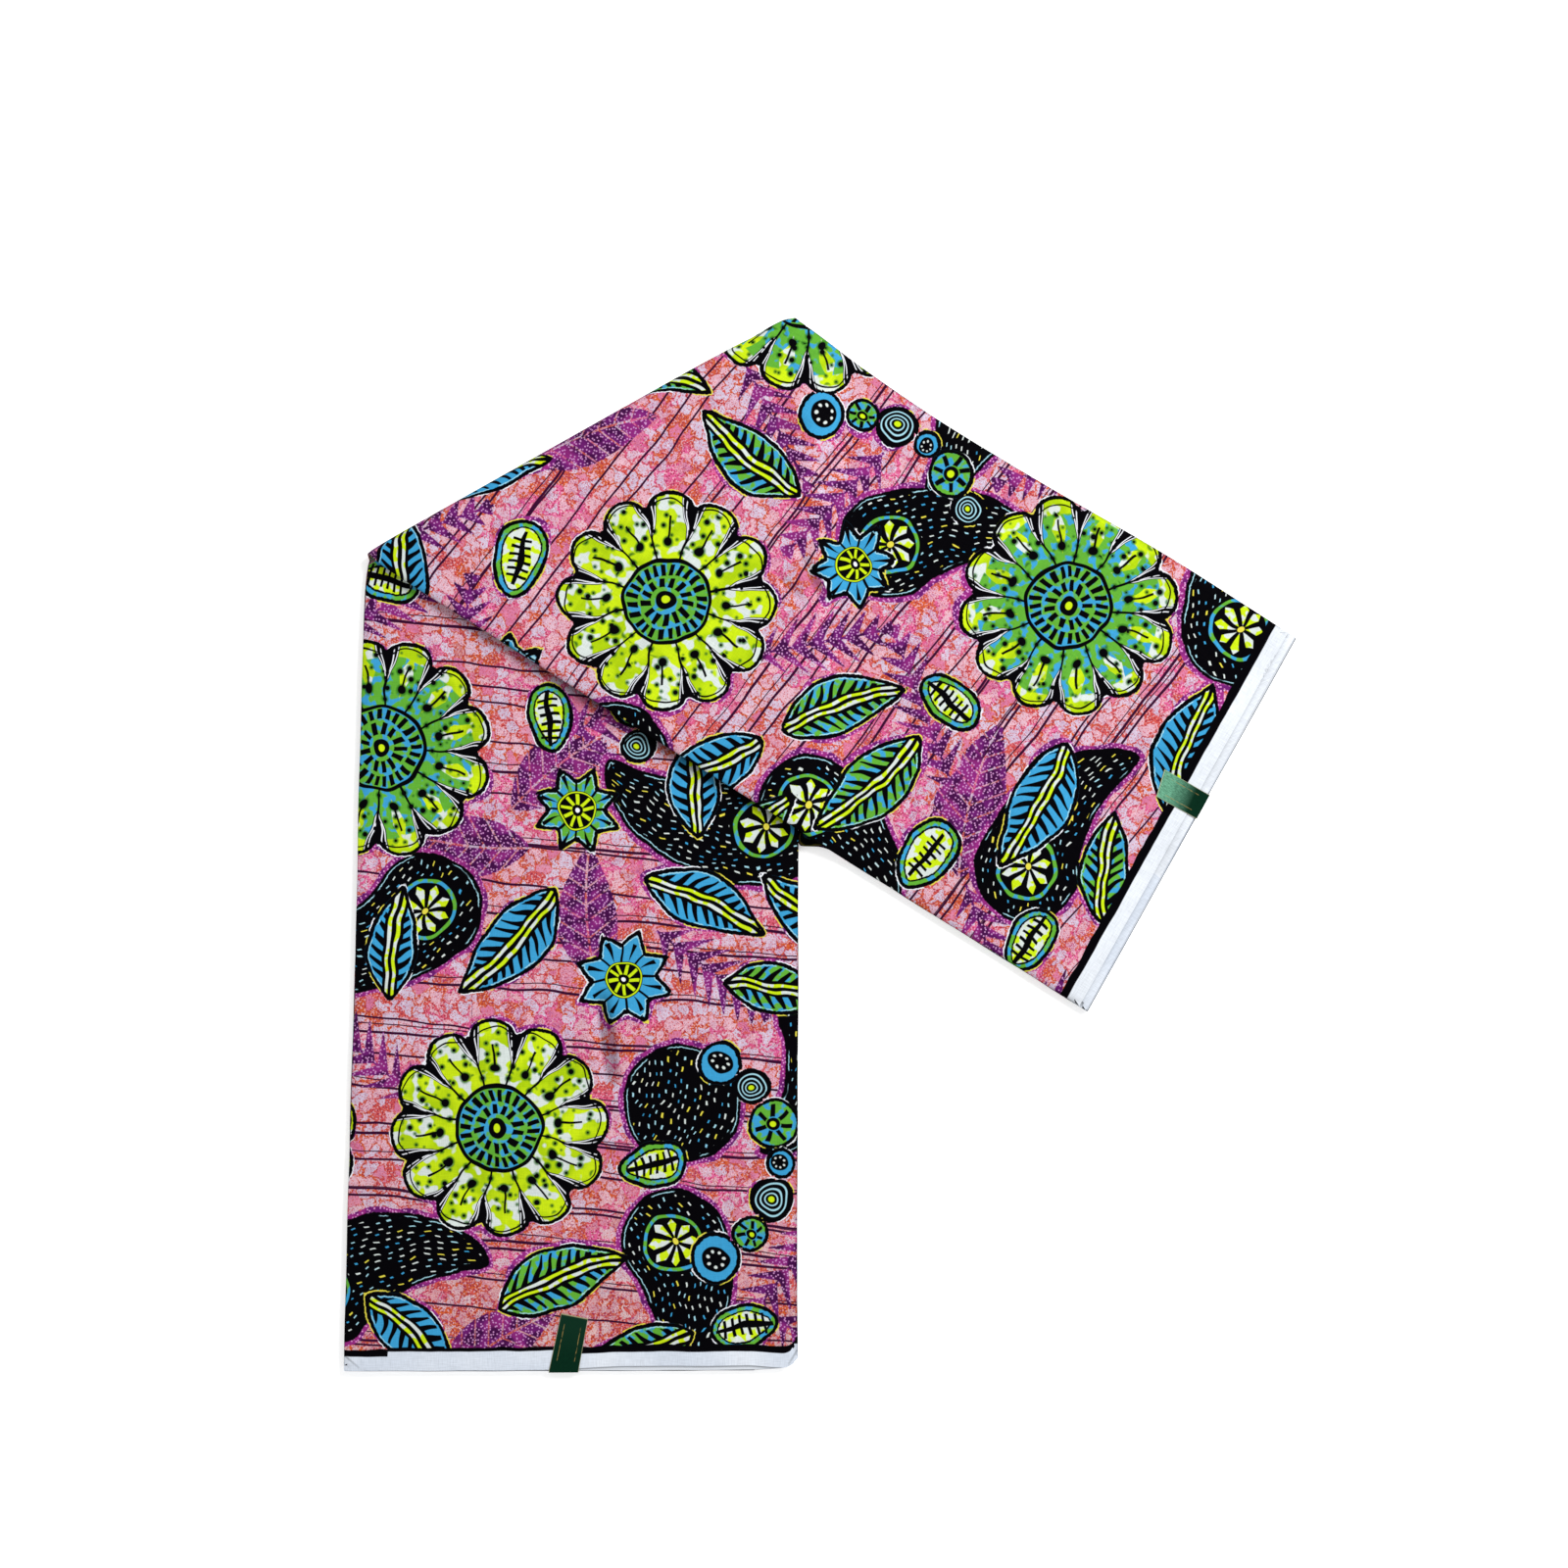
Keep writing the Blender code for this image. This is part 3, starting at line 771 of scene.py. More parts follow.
def edgeProfile(leaf, folds, share):
    # Five points across the strip: how far each lies in from the edge, and its level
    top = topLevel[leaf]
    bottom = top - pack["clothThickness"]
    nose = stack["nose"] * mm
    inset, endInset = stack["inset"] * mm, stack["endInset"] * mm
    ends = [(endInset, top - 0.1 * mm), (0.0, top), (-0.02 * mm, 0.5 * (top + bottom)), (0.0, bottom),
            (endInset, bottom + 0.04 * mm)]
    above = [(inset, top - 0.1 * mm), (nose, top), (0.22 * nose, top - 0.5 * pitch), (0.0, top - pitch),
             (inset, top - pitch)]
    below = [(inset, top), (0.0, top), (0.22 * nose, 0.5 * (top + bottom)), (nose, bottom),
             (inset, bottom + 0.04 * mm)]
    profile = np.array([ends] * len(folds))
    for side in (0, 1):
        here = (folds > 0.5) & (share == side)
        partner = [other for other in (leaf - 1, leaf + 1)
                   if 0 <= other < leafCount and sideGroup(other, side) == sideGroup(leaf, side)]
        if partner:
            profile[here] = above if partner[0] > leaf else below
    return profile


def leafFlat(leaf, path, across):
    # Where a leaf's edge lies on the design: each leaf goes on where the one before it ends
    if leaf == 0:
        return innerFlat(path, across)
    if leaf == leafCount - 1:
        return outerFlat(path, across)
    spot = innerFlat(path, across if leaf % 2 == 0 else 1.0 - across)
    return (spot + (design["lowerStart"] * leaf, 0.0)) % design["repeat"]


def endReach(leaf, atHem, share):
    # How far out a leaf, the furthest of those above it and the furthest of all reach at a cut end
    reach = np.array([np.where(atHem, endOut(other, True, share), endOut(other, False, share))
                      for other in range(leafCount)])
    order = np.arange(leafCount)[:, None]
    cover = np.where(np.where(atHem, order < leaf, order > leaf), reach, -1.0).max(axis=0)
    return reach[leaf], cover, reach.max(axis=0)


def makeEdges():
    points, flats, runs, shades = [], [], [], []
    outsides, foldRims, cutRims = [], [], []
    for leaf in range(leafCount):
        path, share, folds = edgeLoop(leaf)
        profile = edgeProfile(leaf, folds, share)
        low, high = pathEnds(leaf, share)
        atHem = path < 1.5
        own, cover, outermost = endReach(leaf, atHem, share)
        rows = []
        for index in range(profile.shape[1]):
            inward, level = profile[:, index, 0], profile[:, index, 1]
            deep = inward > 1.0 * mm
            inPath = np.where(folds > 0.5, 0.0, inward)
            inPath = np.where(deep, np.where(folds > 0.5, stack["inset"], stack["endInset"]) * mm, inPath)
            ownPath = np.clip(path, low + inPath / axisReach, high - inPath / endRate(share))
            sideways = np.minimum(inward, stack["inset"] * mm) * (deep | (folds > 0.5))
            left = edgeAcross(leaf, 0, ownPath, np.where(share < 1.0, sideways, 0.0))
            right = edgeAcross(leaf, 1, ownPath, np.where(share > 0.0, sideways, 0.0))
            across = left + (right - left) * share
            rows.append(clothPlace(ownPath, across, level))
            flats.append(leafFlat(leaf, ownPath, across))
            runs.append(selvedgeRun(leaf, ownPath, share) + 0.0 * path)
            seen = (leaf == 0 and index < 2) or (leaf == leafCount - 1 and index > 2)
            rounding = np.maximum(1.0 - inward / (stack["nose"] * mm), 0.0)  # 1 along the rounding of a fold
            # Painted shade in the gaps between the side folds, lighter along their rounded noses
            dark = edges["foldShade"] * (1.0 - 0.75 * rounding)
            # At a cut end, the face of the leaf that looks up; it gets a painted shade line beside the next
            # leaf's cut edge, the other faces a faint painted shade
            upward = (folds < 0.5) & np.where(atHem, index < 2, index > 2)
            cut = np.where(upward, edges["lineShade"], edges["cutShade"])
            shades.append(0.0 * path if seen else np.where(folds > 0.5, dark, cut))
            outsides.append(np.where(upward, (own - cover - inward) / mm * edges["lineFade"], 0.0))
            # Distances for the painted dark rim along the outermost folded edges and the cut outline
            outerFold = (folds > 0.5) & (leaf in (0, leafCount - 1))
            foldRims.append(np.where(outerFold, inward / mm, design["far"]))
            cutRims.append(np.where(upward, (outermost - own + inward) / mm, design["far"]))
        points.append(np.stack(rows, axis=1))
    points = np.array(points)  # leaf, station, profile point
    count = points.shape[1]
    flats = np.array(flats).reshape(leafCount, 5, count, 2).transpose(0, 2, 1, 3).reshape(-1, 2)
    runs, shades, outsides, foldRims, cutRims = (
        np.array(values).reshape(leafCount, 5, count).transpose(0, 2, 1).ravel()
        for values in (runs, shades, outsides, foldRims, cutRims))
    index = np.arange(leafCount * count * 5).reshape(leafCount, count, 5)
    after = np.roll(index, -1, axis=1)
    quads = np.stack([index[..., :-1], index[..., 1:], after[..., 1:], after[..., :-1]], axis=-1)
    faces = quads.reshape(-1, 4)
    obj = meshObject("leaf_edges", points, faces)
    printCloth(obj, flats, faces, runs, 0.0, shades, outsides, (foldRims, cutRims))
    sideCount = (count - 2 * edges["columns"]) // 2
    station = np.arange(count)
    onLeft, onHem = station < sideCount, (station >= sideCount) & (station < sideCount + edges["columns"])
    onRight = (station >= sideCount + edges["columns"]) & (station < count - edges["columns"])
    band = np.select([onLeft, onHem, onRight], [0, 2, 1], 2)
    start = np.select([onLeft, onHem, onRight], [0, sideCount, sideCount + edges["columns"]],
                      count - edges["columns"])
    size = np.where(onLeft | onRight, 1.0 / (sideCount + 1.0), 0.49 / (edges["columns"] + 1.0))
    offset = np.where(station >= count - edges["columns"], 0.5, 0.0)
    uv = np.zeros(quads.shape + (2,))
    for corner, (alongStep, acrossStep) in enumerate(((0, 0), (0, 1), (1, 1), (1, 0))):
        uv[:, :, :, corner, 0] = (offset + (station - start + alongStep) * size)[None, :, None]
        rowPlace = (np.arange(leafCount)[:, None] * 3 + band[None, :])[:, :, None]
        uv[:, :, :, corner, 1] = (rowPlace + 0.1 + 0.8 * (np.arange(4) + acrossStep) / 4.0) / (3 * leafCount)
    bakeMap(obj, uv.reshape(-1, 2))
    obj.data.set_sharp_from_angle(angle=math.radians(55))
    print("leaf edges:", len(faces), "faces")
    return obj


leafEdges = makeEdges()


# Shader maths, written as sums of wires: a wire is one output socket of a node tree
class Wire:
    def __init__(self, tree, socket):
        self.tree = tree
        self.socket = socket

    def __add__(self, other):
        return maths(self.tree, "ADD", self, other)

    def __sub__(self, other):
        return maths(self.tree, "SUBTRACT", self, other)

    def __rsub__(self, other):
        return maths(self.tree, "SUBTRACT", other, self)

    def __mul__(self, other):
        return maths(self.tree, "MULTIPLY", self, other)

    def __truediv__(self, other):
        return maths(self.tree, "DIVIDE", self, other)

    def __abs__(self):
        return maths(self.tree, "ABSOLUTE", self)

    __radd__ = __add__
    __rmul__ = __mul__


def newNode(tree, kind):
    node = tree.nodes.new(kind)
    count = len(tree.nodes)
    node.location = (200 * (count // 14), -170 * (count % 14))
    return node


def newMaterial(name):
    material = bpy.data.materials.new(name)
    material.use_nodes = True
    return material, material.node_tree, material.node_tree.nodes["Principled BSDF"]


def feed(tree, socket, value):
    if isinstance(value, Wire):
        tree.links.new(value.socket, socket)
    else:
        socket.default_value = value


def maths(tree, operation, *values, clamp=False):
    node = newNode(tree, "ShaderNodeMath")
    node.operation = operation
    node.use_clamp = clamp
    for socket, value in zip(node.inputs, values):
        feed(tree, socket, value)
    return Wire(tree, node.outputs[0])


def under(value, limit, soft=0.35):
    # 1 where the value is under the limit, with a soft step
    if isinstance(limit, Wire):
        return maths(value.tree, "MULTIPLY_ADD", limit - value, 1.0 / soft, 0.5, clamp=True)
    return maths(value.tree, "MULTIPLY_ADD", value, -1.0 / soft, limit / soft + 0.5, clamp=True)


def over(value, limit, soft=0.35):
    if isinstance(limit, Wire):
        return maths(value.tree, "MULTIPLY_ADD", value - limit, 1.0 / soft, 0.5, clamp=True)
    return maths(value.tree, "MULTIPLY_ADD", value, 1.0 / soft, 0.5 - limit / soft, clamp=True)


def near(value, middle, half, soft=0.35):
    return under(abs(value - middle), half, soft)


def most(first, *others):
    for other in others:
        first = maths(first.tree, "MAXIMUM", first, other)
    return first


def cell(value):
    # Place within its cell, from -0.5 to 0.5
    return maths(value.tree, "FRACT", value) - 0.5


def rootSum(first, second):
    return maths(first.tree, "SQRT", first * first + second * second)


def ink(code):
    # A colour from its sRGB code
    channels = [int(code[i:i + 2], 16) / 255.0 for i in (0, 2, 4)]
    linear = [c / 12.92 if c <= 0.04045 else ((c + 0.055) / 1.055) ** 2.4 for c in channels]
    return (*linear, 1.0)


def painted(tree, base, colour, mask):
    node = newNode(tree, "ShaderNodeMix")
    node.data_type = "RGBA"
    feed(tree, node.inputs[0], mask)
    feed(tree, node.inputs[6], base)
    feed(tree, node.inputs[7], colour)
    return Wire(tree, node.outputs[2])


def attributeParts(tree, name):
    node = newNode(tree, "ShaderNodeAttribute")
    node.attribute_name = name
    parts = newNode(tree, "ShaderNodeSeparateXYZ")
    tree.links.new(node.outputs["Vector"], parts.inputs[0])
    return Wire(tree, node.outputs["Vector"]), *(Wire(tree, output) for output in parts.outputs)


def noise(tree, vector, size, detail=1.0, colour=False, flat=True):
    node = newNode(tree, "ShaderNodeTexNoise")
    node.noise_dimensions = "2D" if flat else "3D"
    node.inputs["Scale"].default_value = 1.0 / size
    node.inputs["Detail"].default_value = detail
    feed(tree, node.inputs["Vector"], vector)
    return Wire(tree, node.outputs["Color" if colour else "Fac"])


def voronoi(tree, vector, size, feature="F1"):
    node = newNode(tree, "ShaderNodeTexVoronoi")
    node.voronoi_dimensions = "2D"
    node.feature = feature
    node.inputs["Scale"].default_value = 1.0 / size
    feed(tree, node.inputs["Vector"], vector)
    return node


def scaled(tree, vector, sizes):
    node = newNode(tree, "ShaderNodeVectorMath")
    node.operation = "MULTIPLY"
    feed(tree, node.inputs[0], vector)
    node.inputs[1].default_value = (*sizes, 1.0)
    return Wire(tree, node.outputs[0])


def randomOf(tree, value):
    node = newNode(tree, "ShaderNodeTexWhiteNoise")
    node.noise_dimensions = "1D"
    feed(tree, node.inputs["W"], value)
    return Wire(tree, node.outputs["Value"])


inks = {
    "hemWhite": ink("D1D9E5"),
    "endWhite": ink("DBE0E7"),
    "white": ink("E9ECF2"),
    "black": ink("020104"),
    "blue": ink("3A98C9"),
    "green": ink("5DA634"),
    "greenDeep": ink("2C6B1C"),
    "lime": ink("C3DE16"),
    "limeDeep": ink("A6C60E"),
    "pale": ink("CFD8D4"),
    "coral": ink("C85149"),
    "coralDeep": ink("95283A"),
    "orange": ink("C4572E"),
    "cream": ink("DBBCB0"),
    "hotPink": ink("D0598A"),
    "magenta": ink("902A79"),
    "orchid": ink("D58FC6"),
    "palePink": ink("E2B6C2"),
    "paleLilac": ink("D2C4D8"),
    "rose": ink("9C3A62"),
    "purple": ink("651B66"),
    "purpleDark": ink("3F0D42"),
    "lilac": ink("C388BE"),
    "thread": ink("34092C"),
    "sky": ink("9FD0DD"),
    "yellow": ink("DCD048"),
}


def colourParts(tree, socket):
    node = newNode(tree, "ShaderNodeSeparateColor")
    tree.links.new(socket, node.inputs[0])
    return [Wire(tree, output) for output in list(node.outputs)[:3]]


# How far the drawn lines wander, in millimetres
wobble = {"grain": 26.0, "place": 7.0, "edge": 5.0, "ragged": 1.3}


def handWobble(tree, flat):
    # As a hand-cut block prints them
    parts = colourParts(tree, noise(tree, flat, wobble["grain"], 1.0, colour=True).socket)
    across, along, out = (part - 0.5 for part in parts)
    return across * wobble["place"], along * wobble["place"], out * wobble["edge"]


# In the drawings below, sizes are in millimetres. What over() and under() compare with the patches are
# shares from 0 to 1, which say how much of an ink shows.
groundSizes = {
    "cell": 9.6,  # the pale cells
    "pushGrain": 8.0,  # what pushes them about: how coarse, and how far
    "push": 13.0,
    "speck": 2.3,
    "hemReach": 90.0,  # the ground turns orange and cream this close to the hem
    "hemSoft": 120.0,
}


def groundInk(tree, flat, x, run, patches):
    # Pale cells with fine scribbles between coral and pink bands
    warp = newNode(tree, "ShaderNodeVectorMath")
    warp.operation = "MULTIPLY_ADD"
    tree.links.new(noise(tree, flat, groundSizes["pushGrain"], 2.0, colour=True).socket, warp.inputs[0])
    warp.inputs[1].default_value = (groundSizes["push"], groundSizes["push"], 0.0)
    tree.links.new(flat.socket, warp.inputs[2])
    warped = Wire(tree, warp.outputs[0])
    cells = voronoi(tree, warped, groundSizes["cell"])
    border = Wire(tree, voronoi(tree, warped, groundSizes["cell"], "DISTANCE_TO_EDGE").outputs["Distance"])
    pick, second, third = colourParts(tree, cells.outputs["Color"])
    bands = painted(tree, inks["coral"], inks["hotPink"], over(patches["slow"], 0.485, 0.12))
    nearHem = under(run, groundSizes["hemReach"], groundSizes["hemSoft"]) * under(x, design["between"])
    bands = painted(tree, bands, inks["orange"], over(patches["wide"], 0.51 - nearHem * 0.13, 0.06))
    specks = Wire(tree, voronoi(tree, flat, groundSizes["speck"]).outputs["Distance"])
    bands = painted(tree, bands, inks["coralDeep"], under(specks, 0.26 + nearHem * 0.07, 0.14) * 0.9)
    bands = painted(tree, bands, inks["palePink"], over(patches["fine"], 0.61, 0.06) * 0.7)
    pale = painted(tree, inks["palePink"], inks["paleLilac"], over(second, 0.5, 0.2))
    pale = painted(tree, pale, inks["hotPink"], under(second, 0.14, 0.06) * 0.7)
    pale = painted(tree, pale, inks["cream"], nearHem * 0.7)
    lines = abs(cell(patches["squiggle"] * 7.0))
    dull = most(over(patches["slow"], 0.54, 0.12), nearHem)
    scribbles = under(lines, 0.115 + dull * 0.08, 0.12) * (0.5 + third * 0.5)
    pale = painted(tree, pale, inks["rose"], scribbles)
    pale = painted(tree, pale, inks["coral"], under(specks, 0.20, 0.12) * 0.75)
    ragged = border + (patches["squiggle"] - 0.5) * 0.22
    shown = over(ragged, 0.045 + third * 0.10 + dull * 0.05, 0.04) * over(pick, 0.10, 0.03)
    colour = painted(tree, bands, pale, shown)
    flecks = under(abs(cell(patches["fine"] * 5.0)), 0.10, 0.1) * over(patches["patch"], 0.50, 0.1)
    return painted(tree, colour, inks["magenta"], flecks * (0.4 + dull * 0.45))


toneSizes = {
    "dot": 2.5,
    "ragged": 2.0,
    "veinStep": 12.0,
    "frondHalf": 21.0,
    "frondStep": 13.0,
}


def toneInk(tree, flat, patches):
    # Purple with small pale dots, for the shapes in the ground, and magenta for the bands round motifs
    dots = Wire(tree, voronoi(tree, flat, toneSizes["dot"]).outputs["Distance"])
    purple = painted(tree, inks["purple"], inks["purpleDark"], over(patches["patch"], 0.5, 0.12))
    purple = painted(tree, purple, inks["magenta"], under(patches["wide"], 0.42, 0.08) * 0.7)
    purple = painted(tree, purple, inks["lilac"], under(dots, 0.23, 0.11))
    band = painted(tree, inks["magenta"], inks["purple"], over(patches["patch"], 0.55, 0.1))
    return purple, painted(tree, band, inks["orchid"], under(dots, 0.24, 0.11))


def bentAside(u, v):
    # Distance to one side of a leaf's bent middle line
    return v - leafShape["bend"] + u * u * (leafShape["bend"] / leafShape["bendReach"] ** 2)


def toneMask(tree, patches):
    _, u, v, distance = attributeParts(tree, "tonePlace")
    _, kind, size, _ = attributeParts(tree, "toneLook")
    isFrond = over(kind, motifKinds["frond"] - 0.5, 0.1)
    edge = distance + (patches["scratch"] - 0.5) * toneSizes["ragged"]
    bent = abs(bentAside(u, v))
    vein = most(under(bent, 0.8), under(abs(cell((u - bent * 0.7) / toneSizes["veinStep"])), 0.055, 0.06))
    leaf = under(edge, 0.0) * (1.0 - vein * 0.8)
    aside = abs(v)
    tapering = maths(tree, "SQRT", maths(tree, "MAXIMUM", 1.0 - (u / size) * (u / size), 0.0))
    width = toneSizes["frondHalf"] * tapering
    leaflet = abs(cell((u - aside * 0.85) / toneSizes["frondStep"]))
    body = under(leaflet, 0.42 - 0.38 * (aside / (width + 0.01)), 0.06)
    frond = most(body * under(aside, width, 1.0), under(aside, 1.0) * under(abs(u), size))
    return leaf * (1.0 - isFrond) + frond * isFrond


threadSizes = {
    "slope": 0.09,  # rise for each millimetre across the strip
    "half": 0.62,  # half width, from this to that much more
    "halfMore": 0.4,
    "pairGap": 2.6,
    "pairGapMore": 2.4,
}


def threadLines(tree, x, y, spacing, offset, wander):
    # Thin lines that run slightly askew across the strip, some in pairs
    aside = cell(x / design["leafWidth"]) * design["leafWidth"]
    place = (y + offset + wander + aside * threadSizes["slope"]) / spacing
    random = randomOf(tree, maths(tree, "FLOOR", place) + offset)
    gap = (cell(place) - (random - 0.5) * 0.4) * spacing - (random - 0.5) * 0.055 * aside
    single = under(abs(gap), threadSizes["half"] + random * threadSizes["halfMore"], 0.35)
    beside = abs(gap - threadSizes["pairGap"] - random * threadSizes["pairGapMore"] + aside * 0.012)
    second = under(beside, 0.4, 0.35) * over(random, 0.52, 0.01)
    return most(single, second) * over(random, 0.06, 0.01)


def marbled(tree, patches, first, second):
    return painted(tree, first, second, over(patches["medium"], 0.53, 0.09))


def turnOf(tree, u, v):
    # The way round the middle, as a share of the circle
    return maths(tree, "ARCTAN2", v, u) / (2.0 * math.pi)


def petalParts(tree, u, v, count):
    # Radius, turn as a share of the circle, place across the nearest petal from -0.5 to 0.5, and the
    # distances from its middle line and from the gap beside it
    radius = rootSum(u, v)
    turn = turnOf(tree, u, v)
    petal = cell(turn * count + 0.5)
    part = 2.0 * math.pi / count
    return radius, turn, petal, abs(petal) * radius * part, (0.5 - abs(petal)) * radius * part


def rayGap(turn, radius, count):
    # Distance from the nearest of so many rays
    return abs(cell(turn * count)) * radius * (2.0 * math.pi / count)


blossomSizes = {
    "tip": 66.0,  # a green petal is lime beyond this radius
    "flame": (5.2, 55.0, 0.3),  # and along its middle: half width, where it is widest, and how it narrows
    "seedCell": 8.2,
    "seedSpread": 2.3,
    "seedsFrom": 41.0,
    "seedsTo": 71.5,
    "middleDot": (43.0, 3.1),  # radius on the petal, and size
    "gapDot": (36.0, 1.5),
    "sepalFrom": 43.0,
    "sepalSpread": 0.30,
    "stalk": (53.0, 8.5),  # middle and half length
    "rim": 74.3,
    "rimCurl": 38.0,
    "core": 31.9,
    "coreRing": (30.6, 1.5),
    "coreStrokes": ((24, 1.7, 24.0, 4.2), (13, 1.8, 13.8, 3.8)),  # count, half width, radius, half length
    "eye": (6.6, 2.6),
}


def blossomInk(tree, u, v, flat, variant, patches):
    sizes = blossomSizes
    radius, turn, petal, arc, gap = petalParts(tree, u, v, blossomPetals)
    colour = painted(tree, inks["lime"], inks["limeDeep"], over(patches["wide"], 0.5, 0.2))
    colour = painted(tree, colour, inks["pale"], over(patches["patch"], 0.575, 0.05))
    green = painted(tree, inks["green"], inks["blue"], over(patches["medium"], 0.57, 0.08))
    half, widest, narrowing = sizes["flame"]
    limeParts = most(over(radius, sizes["tip"], 1.0), under(arc, half - abs(radius - widest) * narrowing))
    green = painted(tree, green, colour, limeParts)
    colour = painted(tree, colour, green, variant)
    seedPlaces = voronoi(tree, flat, sizes["seedCell"])
    random = colourParts(tree, seedPlaces.outputs["Color"])[0]
    seedGap = Wire(tree, seedPlaces.outputs["Distance"]) * sizes["seedCell"]
    seeds = seedGap - random * sizes["seedSpread"] + 0.35
    middleDot = rootSum(radius - sizes["middleDot"][0], arc) - sizes["middleDot"][1]
    gapDot = rootSum(radius - sizes["gapDot"][0], gap) - sizes["gapDot"][1]
    dots = maths(tree, "MINIMUM", middleDot, gapDot)
    dots = maths(tree, "MINIMUM", dots, most(seeds, sizes["seedsFrom"] - radius, radius - sizes["seedsTo"]))
    colour = painted(tree, colour, inks["greenDeep"], under(dots, 1.1, 1.3) * 0.85)
    sepal = sizes["sepalSpread"] * (radius - sizes["sepalFrom"])
    colour = painted(tree, colour, inks["black"], under(gap, sepal))
    streak = near(gap, sepal * 0.55, 0.35, 0.4) * over(sepal, 3.0, 0.4)
    outerStreak = near(gap, sepal - 0.9, 0.3, 0.4) * over(sepal, 1.2)
    colour = painted(tree, colour, inks["white"], most(streak, outerStreak))
    lines = most(
        under(dots, 0.0),
        under(gap, 0.8) * over(radius, 31.0),
        under(arc, 0.8) * near(radius, *sizes["stalk"]),
        near(radius + sizes["rimCurl"] * petal * petal, sizes["rim"], 0.6),
    )
    colour = painted(tree, colour, inks["black"], lines)
    core = marbled(tree, patches, inks["green"], inks["blue"])
    strokes = most(
        *(under(rayGap(turn, radius, count), halfWidth) * near(radius, middle, halfLength)
          for count, halfWidth, middle, halfLength in sizes["coreStrokes"]),
        near(radius, *sizes["coreRing"]),
        under(radius, sizes["eye"][0]),
    )
    core = painted(tree, core, inks["black"], strokes)
    core = painted(tree, core, inks["lime"], under(radius, sizes["eye"][1]))
    return painted(tree, colour, core, under(radius, sizes["core"]))


leafSizes = {
    "glint": (-2.9, 0.3),  # a pale line inside the outline: place and half width
    "rib": 4.2,
    "ribLine": (4.6, 1.1),
    "middleLine": 1.3,
    "veinStep": 8.4,
    "veinSlant": 0.75,
    "veinEnd": -3.8,
}


def leafInk(tree, u, v, edge, variant, patches):
    sizes = leafSizes
    aside = abs(bentAside(u, v))
    body = painted(tree, inks["blue"], marbled(tree, patches, inks["green"], inks["blue"]), variant)
    strip = painted(tree, inks["lime"], inks["pale"], over(patches["medium"], 0.52, 0.05))
    glint = near(edge, *sizes["glint"]) * over(patches["patch"], 0.46, 0.04)
    colour = painted(tree, body, inks["sky"], glint)
    colour = painted(tree, colour, strip, under(aside, sizes["rib"]))
    vein = abs(cell((u - aside * sizes["veinSlant"]) / sizes["veinStep"]))
    lines = most(
        under(vein, 0.40 - aside * 0.017, 0.05) * over(aside, sizes["rib"]) * under(edge, sizes["veinEnd"]),
        near(aside, *sizes["ribLine"]),
        under(aside, sizes["middleLine"]),
    )
    return painted(tree, colour, inks["black"], lines)


starSizes = {
    "glint": (-2.9, 0.35),
    "core": 13.5,
    "coreRing": (12.4, 0.5),
    "rays": 9,
    "rayHalf": 1.1,
    "rayPlace": (7.5, 3.6),  # middle and half length
    "eye": 1.6,
    "wedgeTo": 27.0,
}


def starInk(tree, u, v, edge, variant, patches):
    sizes = starSizes
    radius, turn, _, arc, gap = petalParts(tree, u, v, starPoints)
    colour = painted(tree, inks["blue"], marbled(tree, patches, inks["green"], inks["blue"]), variant)
    colour = painted(tree, colour, inks["sky"], near(edge, *sizes["glint"]))
    wedge = under(arc, (radius - 13.0) * 0.13) * under(radius, sizes["wedgeTo"])
    lines = most(under(gap, 0.9), wedge, under(radius, sizes["core"]))
    colour = painted(tree, colour, inks["black"], lines)
    ray = under(rayGap(turn, radius, sizes["rays"]), sizes["rayHalf"]) * near(radius, *sizes["rayPlace"])
    colour = painted(tree, colour, inks["lime"], most(ray, near(radius, *sizes["coreRing"])))
    return painted(tree, colour, inks["white"], under(radius, sizes["eye"]))


dashSizes = {
    "row": 5.0,
    "length": 7.8,
    "curl": 0.0044,
    "drift": 9.0,
    "margin": -4.6,
    "rosette": 24.0,
    "ring": (20.5, 1.2),
    "petals": 8,
    "petalFrom": 3.0,
    "petalTo": 18.0,
    "eye": 2.2,
}


def dashInk(tree, u, v, edge, plain, patches):
    # Black with short pale strokes that follow the curl of the form, and a rosette unless it is plain
    sizes = dashSizes
    flow = (v - sizes["curl"] * u * u + patches["wide"] * sizes["drift"]) / sizes["row"]
    row = maths(tree, "FLOOR", flow)
    along = u / sizes["length"] + randomOf(tree, row * 1.7) * 3.0
    pick = randomOf(tree, row * 7.3 + maths(tree, "FLOOR", along) * 3.1)
    inRow = abs(cell(flow) - (pick - 0.5) * 0.45)
    dash = under(abs(cell(along)), 0.13 + pick * 0.10, 0.05) * under(inRow, 0.10, 0.06)
    tint = painted(tree, inks["sky"], inks["pale"], over(pick, 0.50, 0.02))
    tint = painted(tree, tint, inks["yellow"], over(pick, 0.82, 0.02))
    tint = painted(tree, tint, inks["blue"], under(pick, 0.22, 0.02))
    shown = dash * under(edge, sizes["margin"]) * over(pick, 0.06, 0.01)
    colour = painted(tree, inks["black"], tint, shown)
    radius = rootSum(u, v) + plain * 100.0  # a plain form's rosette is sent out of reach
    turn = turnOf(tree, u, v)
    arc = rayGap(turn, radius, sizes["petals"])
    colour = painted(tree, colour, inks["black"], under(radius, sizes["rosette"]))
    ring = marbled(tree, patches, inks["green"], inks["blue"])
    colour = painted(tree, colour, ring, near(radius, *sizes["ring"]))
    widening = (radius - sizes["petalFrom"]) * 0.30
    petals = under(arc, maths(tree, "MINIMUM", widening, (sizes["petalTo"] - radius) * 0.9))
    petalTint = painted(tree, inks["lime"], inks["pale"], over(patches["medium"], 0.5, 0.06))
    colour = painted(tree, colour, petalTint, petals)
    return painted(tree, colour, inks["yellow"], under(radius, sizes["eye"]))


